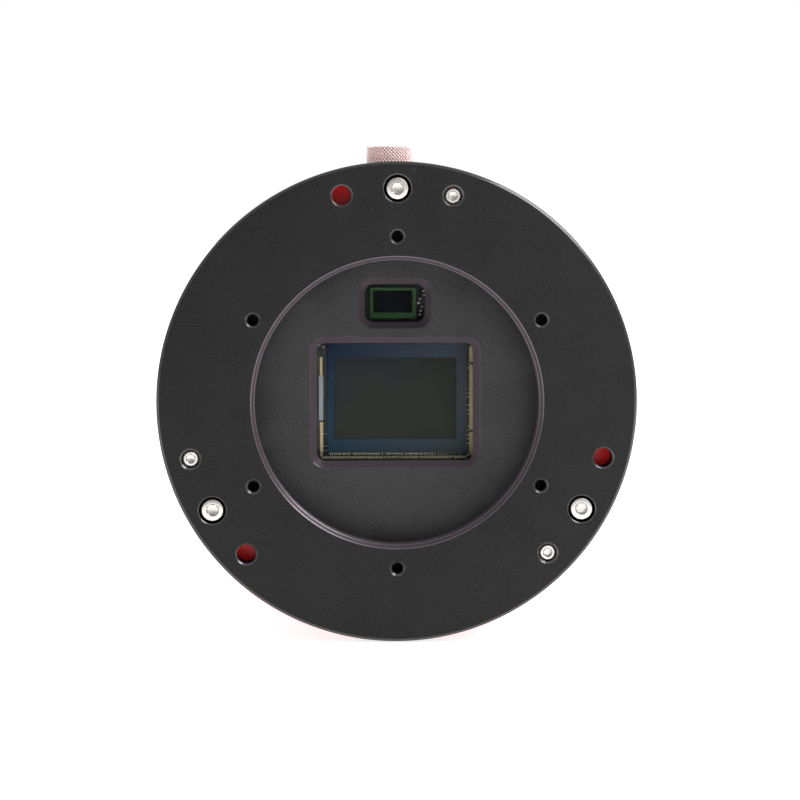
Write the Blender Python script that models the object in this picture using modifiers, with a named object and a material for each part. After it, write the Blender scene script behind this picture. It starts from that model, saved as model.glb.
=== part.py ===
"""Cooled astronomy camera: tilt plate, imaging and guide sensors, cooler, fan and built-in computer.

Lengths are written in millimetres and turned into metres where a mesh is made. Places are given in
the optical frame: x to the right, y up, and z out of the front face towards the telescope, with
z = 0 on that face. One empty turns the optical frame so that its z lies along -Y.
"""

import math

import bmesh
import bpy
from mathutils import Matrix, Vector

MM = 0.001
GAP = 0.3
EXTRA = 1.0  # how far a cutter reaches past the face it opens
PLATE_SEGMENTS = 72
BODY_SEGMENTS = 48
INNER_SEGMENTS = 40
HOLE_SEGMENTS = 8

# Tilt plate
PLATE_RADIUS = 45.0
PLATE_THICKNESS = 4.8
OPENING_RADIUS = 26.7
OPENING_CHAMFER = 0.75
TAPPED_CIRCLE = 31.1
TAPPED_RADIUS = 1.08
SCREW_CIRCLE = 40.0
PULL_ANGLES = (90.0, 210.0, 330.0)
SIGHT_TURN = 15.0  # the see-through hole lies this far anticlockwise of its pull screw
PUSH_TURN = -15.0
PULL_HEAD_RADIUS = 2.1
PUSH_RADIUS = 1.5
SIGHT_RADIUS = 1.8

# Stations along the axis, from the front face backwards
HOUSING_FRONT = -5.4
LID_BACK = -9.4
CHAMBER_FLOOR = -24.0
FLOOR_BACK = -27.2
HOUSING_BACK = -30.0
FIN_BACK = -46.0
CAMERA_BOARD_FRONT = -56.0
COMPUTER_BOARD_FRONT = -66.0
PORT_BOARD_FRONT = -84.6
BOARD_THICKNESS = 1.6
SHELL_FRONT = HOUSING_BACK - GAP
SHELL_BACK = -86.0
COVER_FRONT = SHELL_BACK - GAP
COVER_INSIDE = -97.0
COVER_BACK = -100.0

# Body
BODY_RADIUS = 44.5
BODY_INSIDE = 41.2
CHAMBER_RADIUS = 28.0
LID_RADIUS = 34.5
LID_SCREW_CIRCLE = 32.0
LID_SEAL_RADIUS = 29.3
BOSS_CIRCLE = 39.0
BOSS_RADIUS = 3.0
FRONT_BOSS_ANGLES = (30.0, 150.0, 270.0)
REAR_BOSS_ANGLES = (20.0, 160.0, 200.0, 340.0)
SHANK_RADIUS = 1.25
SHANK_HOLE = 1.55
HEAT_SCREW_CIRCLE = 36.0
HEAT_HOLE_END = -19.0
PULL_HOLE = 1.75  # stands clear of the pull screw's shank
PULL_HOLE_END = -13.4
LID_HOLE = 1.3
LID_HOLE_END = -14.0

# Leads and chips
RIBBON_Y = -25.8
RIBBON_SECTION = (12.0, 0.4)
RIBBON_PLUG = (13.0, 1.8, 1.6)
RIBBON_SLOT = (13.4, 2.6)
LEAD_HOLE = 2.2
LEAD_HOLE_PLACE = (22.3, -10.0)
THIN_LEAD = 0.7
FAN_LEAD = 0.8
CHIP_LIFT = 0.6
CAMERA_CHIP = (12.0, 12.0, 2.0)
CAMERA_CHIP_PLACE = (-13.0, -27.0)
MEMORY_CHIP = (9.0, 7.0, 1.6)
MEMORY_CHIP_PLACE = (8.0, -30.0)
PILLAR_CIRCLE = 33.0
PILLAR_ANGLES = (45.0, 135.0, 225.0, 315.0)
VENT_LENGTH = 14.0
VENT_WIDTH = 3.0
VENT_CENTRE = -40.0
VENT_STEP = 12

# Windows: centre, clear size and the size of the sloped mouth
MAIN_WINDOW = (-0.25, -0.25)
MAIN_CLEAR = (29.6, 22.3)
MAIN_MOUTH = (32.0, 24.8)
MAIN_GLASS = (31.4, 24.0)
GUIDE_WINDOW = (-0.3, 18.5)
GUIDE_CLEAR = (11.4, 7.2)
GUIDE_MOUTH = (13.5, 9.3)
GUIDE_GLASS = (13.0, 8.8)
MOUTH_DEPTH = 1.2
REBATE_FRONT = -7.0

# Sensors
DIE_PLANE = -12.5
MAIN_SENSOR = (0.0, 0.1)
MAIN_DIE = (27.0, 21.1)
MAIN_PACKAGE = (34.0, 27.6)
GUIDE_SENSOR = (-0.4, 18.3)
GUIDE_PACKAGE = (8.9, 5.9)
GUIDE_DIE = (7.5, 4.3)
SENSOR_BOARD_FRONT = -15.3
PEDESTAL = 30.0

# Antenna connector and its cap, standing up from the body
ANTENNA_STATION = -40.0
POCKET_FLOOR = 42.6
POCKET_RADIUS = 5.75
THREAD_RADIUS = 3.1
CAP_RADIUS = 4.85
CAP_LOW = 44.0
CAP_TOP = 49.0

# Drying compartment, bored in from the side
DRY_STATION = -16.0
DRY_RADIUS = 4.5
DRY_MOUTH_RADIUS = 5.8
DRY_MOUTH_FLOOR = 40.6

# Fan
FAN_CENTRE = (0.0, 8.0)
FAN_SIZE = 50.0
FAN_FRONT = -80.2
FAN_BACK = -95.2
DUCT_RADIUS = 23.2
FAN_SCREW_SPACING = 20.0
GRILLE_FRONT = -95.5
GRILLE_BACK = -96.7
GRILLE_OPENING = 22.3
GRILLE_BAR = (46.0, 1.6)
GRILLE_RINGS = (17.6, 12.0)
GRILLE_RING_HALF = 0.7
FAN_HOLE_DEPTH = 13.0
FAN_BLADES = 7

# Ports and controls on the back
PORT_FRONT = PORT_BOARD_FRONT - BOARD_THICKNESS - GAP
SWITCH_BACK = PORT_FRONT - 3.5
DC_ROW = -23.5
DC_INPUT_X = -16.0
DC_OUTPUT_X = (-6.0, 4.0, 14.0, 24.0)
DC_BODY = (8.6, 9.6)
DC_NOSE_RADIUS = 3.7
DC_BORE_RADIUS = 2.9
DC_PIN_RADIUS = 1.05
USB_C_PLACE = (-27.0, -23.5)
USB_C_SIZE = (8.94, 3.16)
USB_A_PLACES = ((-8.5, -34.2), (8.5, -34.2))
USB_A_SIZE = (13.1, 5.7)
RESET_PLACE = (-29.0, -6.0)
LIGHT_PLACE = (29.0, -6.0)
PORT_END = -99.7

# Colour, roughness and metallic value of each finish
FINISHES = {
    "black_anodised": ((0.035, 0.035, 0.036), 0.5, 0.6),
    "grey_blasted": ((0.055, 0.055, 0.057), 0.6, 0.6),
    "red_anodised": ((0.55, 0.01, 0.01), 0.35, 0.7),
    "steel": ((0.62, 0.6, 0.57), 0.25, 1.0),
    "window_glass": ((0.9, 0.93, 0.95), 0.05, 0.0),
    "seal_rubber": ((0.02, 0.02, 0.02), 0.7, 0.0),
    "ceramic": ((0.12, 0.11, 0.1), 0.5, 0.0),
    "silicon": ((0.03, 0.045, 0.06), 0.2, 0.3),
    "green_substrate": ((0.02, 0.12, 0.03), 0.45, 0.0),
    "circuit_board": ((0.01, 0.05, 0.03), 0.5, 0.0),
    "copper": ((0.72, 0.35, 0.2), 0.35, 1.0),
    "white_ceramic": ((0.8, 0.8, 0.77), 0.4, 0.0),
    "foam": ((0.05, 0.05, 0.05), 0.9, 0.0),
    "desiccant": ((0.75, 0.72, 0.62), 0.8, 0.0),
    "aluminium": ((0.6, 0.6, 0.62), 0.4, 1.0),
    "black_plastic": ((0.02, 0.02, 0.02), 0.45, 0.0),
    "clear_plastic": ((0.7, 0.85, 0.75), 0.2, 0.0),
    "gold": ((0.8, 0.55, 0.22), 0.3, 1.0),
    "white_plastic": ((0.75, 0.75, 0.73), 0.5, 0.0),
    "flex": ((0.45, 0.2, 0.04), 0.4, 0.0),
}


# ---------------------------------------------------------------- scene and helpers


def clear_scene():
    for item in list(bpy.data.objects):
        bpy.data.objects.remove(item, do_unlink=True)


def new_collection(name):
    group = bpy.data.collections.new(name)
    bpy.context.scene.collection.children.link(group)
    return group


def new_optical_frame(group):
    """The empty whose z is the optical axis."""
    empty = bpy.data.objects.new("optical_frame", None)
    empty.rotation_euler = (math.radians(90.0), 0.0, 0.0)
    group.objects.link(empty)
    return empty


clear_scene()
parts = new_collection("cooled_astronomy_camera")
cutters = new_collection("cutters")
optical_frame = new_optical_frame(parts)


def polar(radius, degrees):
    """The point (x, y) at a radius and an angle from +x."""
    turn = math.radians(degrees)
    return radius * math.cos(turn), radius * math.sin(turn)


def link(item, group):
    group.objects.link(item)
    item.parent = optical_frame
    return item


def box(size, at, corner=0.0, foot=(1.0, 1.0), turn=None):
    """A block centred at a point. corner rounds its z edges, foot scales its low end."""

    def add(bm):
        verts = bmesh.ops.create_cube(bm, size=1.0)["verts"]
        bmesh.ops.scale(bm, vec=Vector(size), verts=verts)
        if corner:
            upright = {e for v in verts for e in v.link_edges}
            upright = [e for e in upright if abs(e.verts[0].co.z - e.verts[1].co.z) > size[2] / 2]
            bmesh.ops.bevel(
                bm, geom=upright, offset=corner, segments=3, profile=0.5, affect="EDGES"
            )
        for vert in bm.verts:
            if vert.co.z < 0.0:
                vert.co.x *= foot[0]
                vert.co.y *= foot[1]
        place = Matrix.Translation(Vector(at))
        bmesh.ops.transform(bm, matrix=place @ turn if turn else place, verts=bm.verts)

    return add


def rod(radius, low, high, at=(0.0, 0.0), segments=24, high_radius=None, along="Z"):
    """A cylinder or cone from low to high along an axis. at holds the other two coordinates."""

    def add(bm):
        bmesh.ops.create_cone(
            bm,
            cap_ends=True,
            segments=segments,
            radius1=radius,
            radius2=radius if high_radius is None else high_radius,
            depth=high - low,
        )
        middle = (low + high) / 2
        if along == "X":
            place = Matrix.Translation((middle, at[0], at[1])) @ Matrix.Rotation(math.pi / 2, 4, "Y")
        elif along == "Y":
            place = Matrix.Translation((at[0], middle, at[1])) @ Matrix.Rotation(-math.pi / 2, 4, "X")
        else:
            place = Matrix.Translation((at[0], at[1], middle))
        bmesh.ops.transform(bm, matrix=place, verts=bm.verts)

    return add


def mouth_chamfer(radius, width, at, segments):
    """A 45 degree cone that chamfers the mouth of a hole in the front face."""
    below, above = 0.2, 0.3
    return rod(radius - below, -width - below, above, at, segments, radius + width + above)


def shapes_mesh(name, shapes, origin):
    """One mesh that holds every shape as its own closed body."""
    whole = bmesh.new()
    for shape in shapes:
        one = bmesh.new()
        shape(one)
        bmesh.ops.recalc_face_normals(one, faces=one.faces)
        piece = bpy.data.meshes.new("shape")
        one.to_mesh(piece)
        one.free()
        whole.from_mesh(piece)
        bpy.data.meshes.remove(piece)
    bmesh.ops.translate(whole, vec=-Vector(origin), verts=whole.verts)
    bmesh.ops.scale(whole, vec=(MM, MM, MM), verts=whole.verts)
    mesh = bpy.data.meshes.new(name)
    whole.to_mesh(mesh)
    whole.free()
    mesh.shade_smooth()
    mesh.set_sharp_from_angle(angle=math.radians(35.0))
    return mesh


def solid(name, *shapes, origin=(0.0, 0.0, 0.0)):
    """A part made of shapes, with its origin at a point of the optical frame."""
    item = bpy.data.objects.new(name, shapes_mesh(name, shapes, origin))
    item.location = Vector(origin) * MM
    return link(item, parts)


def turned(name, profile, segments, origin=(0.0, 0.0, 0.0), closed=False, along="Z"):
    """A part turned about its own axis. The (radius, height) profile runs down its outer side."""
    mesh = bpy.data.meshes.new(name)
    points = [(radius * MM, 0.0, height * MM) for radius, height in profile]
    edges = [(n, n + 1) for n in range(len(points) - 1)]
    if closed:
        edges.append((len(points) - 1, 0))
    mesh.from_pydata(points, edges, [])
    item = bpy.data.objects.new(name, mesh)
    item.location = Vector(origin) * MM
    if along == "X":
        item.rotation_euler = (0.0, math.pi / 2, 0.0)
    elif along == "Y":
        item.rotation_euler = (-math.pi / 2, 0.0, 0.0)
    spin = item.modifiers.new("turn", "SCREW")
    spin.steps = segments
    spin.render_steps = segments
    spin.use_merge_vertices = True
    spin.merge_threshold = 0.000001
    return link(item, parts)


def ring(name, radius, thickness, segments, origin, along="Z"):
    """A seal ring of round section."""
    sides = 6
    profile = []
    for n in range(sides):
        turn = math.pi / 2 - 2 * math.pi * n / sides
        profile.append((radius + thickness / 2 * math.cos(turn), thickness / 2 * math.sin(turn)))
    return turned(name, profile, segments, origin, closed=True, along=along)


def combine(item, operation, tool, solver="EXACT"):
    """A Boolean with a tool, which is hidden in the cutters' collection."""
    for group in list(tool.users_collection):
        group.objects.unlink(tool)
    cutters.objects.link(tool)
    tool.hide_render = True
    tool.display_type = "WIRE"
    step = item.modifiers.new(tool.name, "BOOLEAN")
    step.operation = operation
    step.solver = solver
    step.object = tool
    return item


def tool_of(item, shapes):
    name = f"{item.name}_tool_{len(item.modifiers)}"
    tool = bpy.data.objects.new(name, shapes_mesh(name, shapes, (0.0, 0.0, 0.0)))
    return link(tool, cutters)


def cut(item, *shapes, solver="EXACT"):
    """Cuts shapes, none of which overlaps another, out of a part."""
    return combine(item, "DIFFERENCE", tool_of(item, shapes), solver)


def join(item, *shapes, solver="EXACT"):
    """Joins shapes, none of which overlaps another, to a part."""
    return combine(item, "UNION", tool_of(item, shapes), solver)


def lead(name, points, radius):
    """A round lead through a smooth curve near its points."""
    curve = bpy.data.curves.new(name, "CURVE")
    curve.dimensions = "3D"
    curve.bevel_depth = radius * MM
    curve.bevel_resolution = 2
    curve.use_fill_caps = True
    route = smooth_route(points, 3)
    spline = curve.splines.new("POLY")
    spline.points.add(len(route) - 1)
    for point, place in zip(spline.points, route):
        point.co = (place.x * MM, place.y * MM, place.z * MM, 1.0)
    return link(bpy.data.objects.new(name, curve), parts)


def smooth_route(points, steps):
    """Points along a Catmull-Rom curve through the given points."""
    knots = [Vector(p) for p in points]
    knots = [2 * knots[0] - knots[1], *knots, 2 * knots[-1] - knots[-2]]
    route = []
    for a, b, c, d in zip(knots, knots[1:], knots[2:], knots[3:]):
        for n in range(steps):
            t = n / steps
            route.append(
                0.5
                * (
                    2 * b
                    + (c - a) * t
                    + (2 * a - 5 * b + 4 * c - d) * t * t
                    + (3 * b - a - 3 * c + d) * t**3
                )
            )
    route.append(knots[-2])
    return route


def finish(item, finish_name):
    """Gives a part its own material."""
    colour, roughness, metallic = FINISHES[finish_name]
    material = bpy.data.materials.new(f"{item.name}_{finish_name}")
    material.use_nodes = True
    shader = material.node_tree.nodes["Principled BSDF"]
    shader.inputs["Base Color"].default_value = (*colour, 1.0)
    shader.inputs["Roughness"].default_value = roughness
    shader.inputs["Metallic"].default_value = metallic
    item.data.materials.append(material)
    return item


def hexagon_radius(across_flats):
    return across_flats / math.sqrt(3.0)


def long_screw(name, place, head_end, head_inner, tip, socket):
    """Socket head screw along the axis. Its head lies between head_end and head_inner."""
    head, shank = 2.25, SHANK_RADIUS
    profile = [
        (0.0, tip),
        (shank, tip),
        (shank, head_inner),
        (head, head_inner),
        (head, head_end),
        (0.0, head_end),
    ]
    if head_end > tip:
        profile.reverse()
    screw = turned(name, profile, 12, origin=(*place, 0.0))
    inwards = 1.0 if tip > head_end else -1.0
    ends = sorted((head_end - EXTRA * inwards, head_end + abs(head_inner - head_end) * 0.6 * inwards))
    cut(screw, rod(hexagon_radius(socket), *ends, place, 6))
    finish(screw, "steel")


# ---------------------------------------------------------------- tilt plate and its screws


def make_tilt_plate():
    """Ring with a chamfered opening, six tapped holes and three groups of three holes."""
    back = -PLATE_THICKNESS
    middle = back / 2
    profile = [
        (PLATE_RADIUS - 0.5, 0.0),
        (PLATE_RADIUS, -0.5),
        (PLATE_RADIUS, back + 0.3),
        (PLATE_RADIUS - 0.3, back),
        (OPENING_RADIUS, back),
        (OPENING_RADIUS, -OPENING_CHAMFER),
        (OPENING_RADIUS + OPENING_CHAMFER, 0.0),
    ]
    profile = [(radius, height - middle) for radius, height in profile]
    plate = turned("tilt_plate", profile, PLATE_SEGMENTS, origin=(0.0, 0.0, middle), closed=True)
    tapped = [polar(TAPPED_CIRCLE, 30.0 + 60.0 * n) for n in range(6)]
    pull = [polar(SCREW_CIRCLE, a) for a in PULL_ANGLES]
    push = [polar(SCREW_CIRCLE, a + PUSH_TURN) for a in PULL_ANGLES]
    sight = [polar(SCREW_CIRCLE, a + SIGHT_TURN) for a in PULL_ANGLES]
    low, high = back - EXTRA, EXTRA
    cut(
        plate,
        *[rod(TAPPED_RADIUS, low, high, p, 10) for p in tapped],
        *[rod(SHANK_HOLE, low, high, p, 10) for p in pull],
        *[rod(PUSH_RADIUS + GAP, low, high, p, 14) for p in push],
        *[rod(SIGHT_RADIUS, low, high, p, 16) for p in sight],
    )
    cut(
        plate,
        *[mouth_chamfer(TAPPED_RADIUS, 0.37, p, 10) for p in tapped],
        *[rod(2.55, -3.4, high, p, 18) for p in pull],
        *[mouth_chamfer(SIGHT_RADIUS, 0.5, p, 16) for p in sight],
        *[mouth_chamfer(PUSH_RADIUS + GAP, 0.25, p, 14) for p in push],
    )
    finish(plate, "black_anodised")


def make_pull_screw(name, place):
    """Socket head screw that pulls the plate towards the housing."""
    x, y = place
    top, shoulder, tip = -0.4, -3.0, -12.6
    profile = [
        (0.0, top),
        (PULL_HEAD_RADIUS - 0.3, top),
        (PULL_HEAD_RADIUS, top - 0.3),
        (PULL_HEAD_RADIUS, shoulder),
        (SHANK_RADIUS, shoulder),
        (SHANK_RADIUS, tip + 0.3),
        (SHANK_RADIUS - 0.3, tip),
        (0.0, tip),
    ]
    screw = turned(name, profile, 16, origin=(x, y, 0.0))
    cut(screw, rod(hexagon_radius(2.0), -1.9, EXTRA, place, 6))
    finish(screw, "steel")


def make_push_screw(name, place):
    """Headless set screw that pushes the plate off the housing."""
    x, y = place
    top, tip = -0.4, HOUSING_FRONT + 0.65
    profile = [
        (0.0, top),
        (PUSH_RADIUS - 0.25, top),
        (PUSH_RADIUS, top - 0.25),
        (PUSH_RADIUS, tip + 0.5),
        (PUSH_RADIUS - 0.5, tip),
        (0.0, tip),
    ]
    screw = turned(name, profile, 14, origin=(x, y, 0.0))
    cut(screw, rod(hexagon_radius(1.5), -2.0, EXTRA, place, 6))
    finish(screw, "steel")


# ---------------------------------------------------------------- sensor chamber


def make_front_housing():
    """Red block with the sensor chamber in front and a skirt round the heat sink behind."""
    ledge = LID_BACK - GAP
    groove = ledge - 1.25
    profile = [
        (0.0, CHAMBER_FLOOR),
        (CHAMBER_RADIUS, CHAMBER_FLOOR),
        (CHAMBER_RADIUS, ledge),
        (LID_SEAL_RADIUS - 0.8, ledge),
        (LID_SEAL_RADIUS - 0.8, groove),
        (LID_SEAL_RADIUS + 0.8, groove),
        (LID_SEAL_RADIUS + 0.8, ledge),
        (LID_RADIUS + GAP, ledge),
        (LID_RADIUS + GAP, HOUSING_FRONT),
        (BODY_RADIUS - 0.4, HOUSING_FRONT),
        (BODY_RADIUS, HOUSING_FRONT - 0.4),
        (BODY_RADIUS, HOUSING_BACK),
        (BODY_INSIDE, HOUSING_BACK),
        (BODY_INSIDE, FLOOR_BACK),
        (0.0, FLOOR_BACK),
    ]
    housing = turned("front_housing", profile, INNER_SEGMENTS)
    front = HOUSING_FRONT + EXTRA
    floor_low, floor_high = FLOOR_BACK - EXTRA, CHAMBER_FLOOR + EXTRA
    floor_middle = (floor_low + floor_high) / 2
    floor_depth = floor_high - floor_low
    cut(
        housing,
        box((PEDESTAL + 2.0, PEDESTAL + 2.0, floor_depth), (0.0, 0.0, floor_middle)),
        box((*RIBBON_SLOT, floor_depth), (0.0, RIBBON_Y, floor_middle)),
        rod(LEAD_HOLE, floor_low, floor_high, LEAD_HOLE_PLACE, 12),
        *rods(PULL_HOLE, PULL_HOLE_END, front, SCREW_CIRCLE, PULL_ANGLES),
        *[rod(LID_HOLE, LID_HOLE_END, ledge + EXTRA, p, HOLE_SEGMENTS) for p in lid_screw_places()],
        *rods(SHANK_HOLE, HOUSING_BACK - EXTRA, front, BOSS_CIRCLE, FRONT_BOSS_ANGLES),
        *rods(SHANK_HOLE, floor_low, HEAT_HOLE_END, HEAT_SCREW_CIRCLE, PULL_ANGLES),
        rod(DRY_RADIUS, 28.7, DRY_MOUTH_FLOOR + 0.5, (0.0, DRY_STATION), 20, along="X"),
    )
    cut(
        housing,
        *[rod(2.6, -8.6, HOUSING_FRONT + EXTRA, polar(BOSS_CIRCLE, a), 12) for a in FRONT_BOSS_ANGLES],
        rod(DRY_MOUTH_RADIUS, DRY_MOUTH_FLOOR, 46.0, (0.0, DRY_STATION), 24, along="X"),
        rod(1.5, 26.0, 29.5, (0.0, DRY_STATION), 12, along="X"),
        solver="MANIFOLD",
    )
    finish(housing, "red_anodised")


def rods(radius, low, high, circle, angles):
    """Equal rods standing on a circle, one at each angle."""
    return [rod(radius, low, high, polar(circle, angle), HOLE_SEGMENTS) for angle in angles]


def lid_screw_places():
    return [polar(LID_SCREW_CIRCLE, 15.0 + 60.0 * n) for n in range(6)]


def window_mouth(centre, mouth, clear):
    """The sloped mouth of a window, from above the lid down to the clear size."""
    rise = 0.4
    grow = [1.0 + (m - c) / c * (MOUTH_DEPTH + rise) / MOUTH_DEPTH for m, c in zip(mouth, clear)]
    height = MOUTH_DEPTH + rise
    size = (clear[0] * grow[0], clear[1] * grow[1], height)
    middle = HOUSING_FRONT + rise - height / 2
    return box(size, (*centre, middle), corner=2.2, foot=(1 / grow[0], 1 / grow[1]))


def make_chamber_lid():
    """Round lid with a window for each sensor and a rebate behind it for the glass."""
    middle = (HOUSING_FRONT + LID_BACK) / 2
    thickness = HOUSING_FRONT - LID_BACK
    profile = [
        (0.0, HOUSING_FRONT),
        (LID_RADIUS - 0.3, HOUSING_FRONT),
        (LID_RADIUS, HOUSING_FRONT - 0.3),
        (LID_RADIUS, LID_BACK),
        (0.0, LID_BACK),
    ]
    lid = turned("chamber_lid", profile, INNER_SEGMENTS)
    cut(
        lid,
        window_mouth(MAIN_WINDOW, MAIN_MOUTH, MAIN_CLEAR),
        window_mouth(GUIDE_WINDOW, GUIDE_MOUTH, GUIDE_CLEAR),
        *[rod(2.05, -7.0, HOUSING_FRONT + EXTRA, p, 10) for p in lid_screw_places()],
    )
    through = thickness + 2 * EXTRA
    cut(
        lid,
        box((*MAIN_CLEAR, through), (*MAIN_WINDOW, middle), corner=1.8),
        box((*GUIDE_CLEAR, through), (*GUIDE_WINDOW, middle), corner=1.6),
        *[rod(1.3, LID_BACK - EXTRA, HOUSING_FRONT, p, HOLE_SEGMENTS) for p in lid_screw_places()],
    )
    low = LID_BACK - EXTRA
    depth = REBATE_FRONT - low
    place = (REBATE_FRONT + low) / 2
    cut(
        lid,
        box((MAIN_GLASS[0] + 0.6, MAIN_GLASS[1] + 0.6, depth), (*MAIN_WINDOW, place)),
        box((GUIDE_GLASS[0] + 0.6, GUIDE_GLASS[1] + 0.6, depth), (*GUIDE_WINDOW, place)),
    )
    finish(lid, "grey_blasted")


def make_window(name, centre, glass):
    """Flat pane behind the lid's ledge."""
    pane = solid(name, box((*glass, 1.4), (*centre, REBATE_FRONT - 1.9)))
    finish(pane, "window_glass")


def make_window_seal(name, centre, glass, clear):
    """Thin gasket between the lid's ledge and the pane."""
    place = (*centre, REBATE_FRONT - 0.6)
    seal = solid(name, box((*glass, 0.6), place))
    cut(seal, box((clear[0] + 0.5, clear[1] + 0.5, 2.0), place))
    finish(seal, "seal_rubber")


def make_main_sensor():
    """Ceramic package with a well, and the imaging die on its floor."""
    top, bottom = -11.6, -15.0
    middle = (top + bottom) / 2
    package = solid("main_sensor_package", box((*MAIN_PACKAGE, top - bottom), (*MAIN_SENSOR, middle)))
    well_floor = -13.5
    cut(package, box((31.0, 24.0, 5.0), (*MAIN_SENSOR, well_floor + 2.5)))
    finish(package, "ceramic")
    die = solid("main_sensor_die", box((*MAIN_DIE, 0.7), (*MAIN_SENSOR, DIE_PLANE - 0.35)))
    finish(die, "silicon")


def make_guide_sensor():
    """Small green package with its die, on a board of its own."""
    package = solid("guide_sensor_package", box((*GUIDE_PACKAGE, 1.3), (*GUIDE_SENSOR, -12.95)))
    cut(package, box((GUIDE_DIE[0] + 0.7, GUIDE_DIE[1] + 0.7, 2.0), (*GUIDE_SENSOR, -12.3)))
    finish(package, "green_substrate")
    die = solid("guide_sensor_die", box((*GUIDE_DIE, 0.4), (*GUIDE_SENSOR, DIE_PLANE - 0.2)))
    finish(die, "silicon")
    board = solid("guide_board", box((18.0, 9.4, 1.1), (GUIDE_SENSOR[0], 19.0, -14.45), corner=1.0))
    finish(board, "circuit_board")


def make_sensor_board():
    """Round board behind the package, open in the middle for the cold finger."""
    low = SENSOR_BOARD_FRONT - BOARD_THICKNESS
    board = solid("sensor_board", rod(27.0, low, SENSOR_BOARD_FRONT, segments=36))
    cut(board, box((20.0, 14.0, 4.0), (*MAIN_SENSOR, low), corner=1.0))
    finish(board, "circuit_board")


def make_cold_finger():
    """Copper block that draws the sensor's heat back through the board."""
    block = solid("cold_finger", box((30.0, 26.0, 3.8), (0.0, 0.0, -19.1)))
    join(block, box((19.0, 13.0, 2.9), (*MAIN_SENSOR, -16.75)))
    finish(block, "copper")


def make_cooler():
    """Thermoelectric cooler: two ceramic plates held apart by rows of pellets."""
    cold, hot, plate = -21.3, -25.3, 0.8
    cooler = solid("cooler", box((PEDESTAL, PEDESTAL, plate), (0.0, 0.0, cold - plate / 2)))
    pellets = []
    rows = 4
    pitch = 7.5
    height = cold - hot - plate
    for column in range(rows):
        for row in range(rows):
            x = (column - (rows - 1) / 2) * pitch
            y = (row - (rows - 1) / 2) * pitch
            pellets.append(box((3.4, 3.4, height), (x, y, (cold + hot) / 2)))
    join(cooler, *pellets)
    join(cooler, box((PEDESTAL, PEDESTAL, plate), (0.0, 0.0, hot + plate / 2)))
    finish(cooler, "white_ceramic")


def make_insulation():
    """Foam frame round the cold finger and the cooler, notched for the cooler's lead."""
    front, back = -17.5, CHAMBER_FLOOR + GAP
    middle = (front + back) / 2
    foam = solid("insulation", box((38.0, 38.0, front - back), (0.0, 0.0, middle), corner=1.5))
    cut(foam, box((33.0, 33.0, 10.0), (0.0, 0.0, middle)))
    cut(foam, box((6.0, 3.4, 4.6), (18.0, -10.0, back)))
    finish(foam, "foam")


def make_drying_compartment():
    """Desiccant tablet behind a slotted plug with a seal."""
    tablet = solid("desiccant_tablet", rod(4.0, 29.1, 35.5, (0.0, DRY_STATION), 20, along="X"))
    finish(tablet, "desiccant")
    head_low, head_top, stem_end = 42.1, 44.0, 36.0
    profile = [
        (0.0, head_top),
        (5.1, head_top),
        (5.4, head_top - 0.3),
        (5.4, head_low),
        (4.1, head_low),
        (4.1, stem_end),
        (0.0, stem_end),
    ]
    plug = turned("desiccant_plug", profile, 28, origin=(0.0, 0.0, DRY_STATION), along="X")
    cut(plug, box((2.0, 8.0, 1.4), (head_top, 0.0, DRY_STATION)))
    finish(plug, "black_anodised")
    seal = ring("desiccant_seal", 4.95, 0.9, 28, (41.35, 0.0, DRY_STATION), along="X")
    finish(seal, "seal_rubber")


# ---------------------------------------------------------------- heat sink, shell and boards


def make_heat_sink():
    """Round base with a pedestal for the cooler in front and fins behind."""
    front = FLOOR_BACK - GAP
    sink = solid("heat_sink", rod(40.5, HOUSING_BACK, front, segments=INNER_SEGMENTS))
    join(sink, box((PEDESTAL, PEDESTAL, 3.0), (0.0, 0.0, -27.1)))
    fins = []
    root = HOUSING_BACK + 0.5
    for n in range(-6, 7):
        x = 5.0 * n
        reach = min(20.0, math.sqrt(34.0**2 - x**2))
        fins.append(box((1.6, 2 * reach, root - FIN_BACK), (x, 0.0, (root + FIN_BACK) / 2)))
    join(sink, *fins)
    low, high = HOUSING_BACK - EXTRA, front + EXTRA
    join(sink, *pillars(HOUSING_BACK, CAMERA_BOARD_FRONT, PILLAR_ANGLES))
    cut(
        sink,
        box((13.4, 2.6, high - low), (0.0, -25.8, (high + low) / 2)),
        rod(2.2, low, high, (22.3, -10.0), 12),
        *[rod(2.2, low, high, polar(BOSS_CIRCLE, a), 12) for a in FRONT_BOSS_ANGLES],
        *[rod(SHANK_HOLE, low, high, polar(HEAT_SCREW_CIRCLE, a), 12) for a in PULL_ANGLES],
    )
    finish(sink, "aluminium")


def vent_angles():
    """Every twelfth degree, apart from those near a boss or the antenna."""
    blocked = [*FRONT_BOSS_ANGLES, 90.0]
    return [
        a for a in range(0, 360, VENT_STEP) if all(abs((a - b + 180) % 360 - 180) > 10 for b in blocked)
    ]


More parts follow.
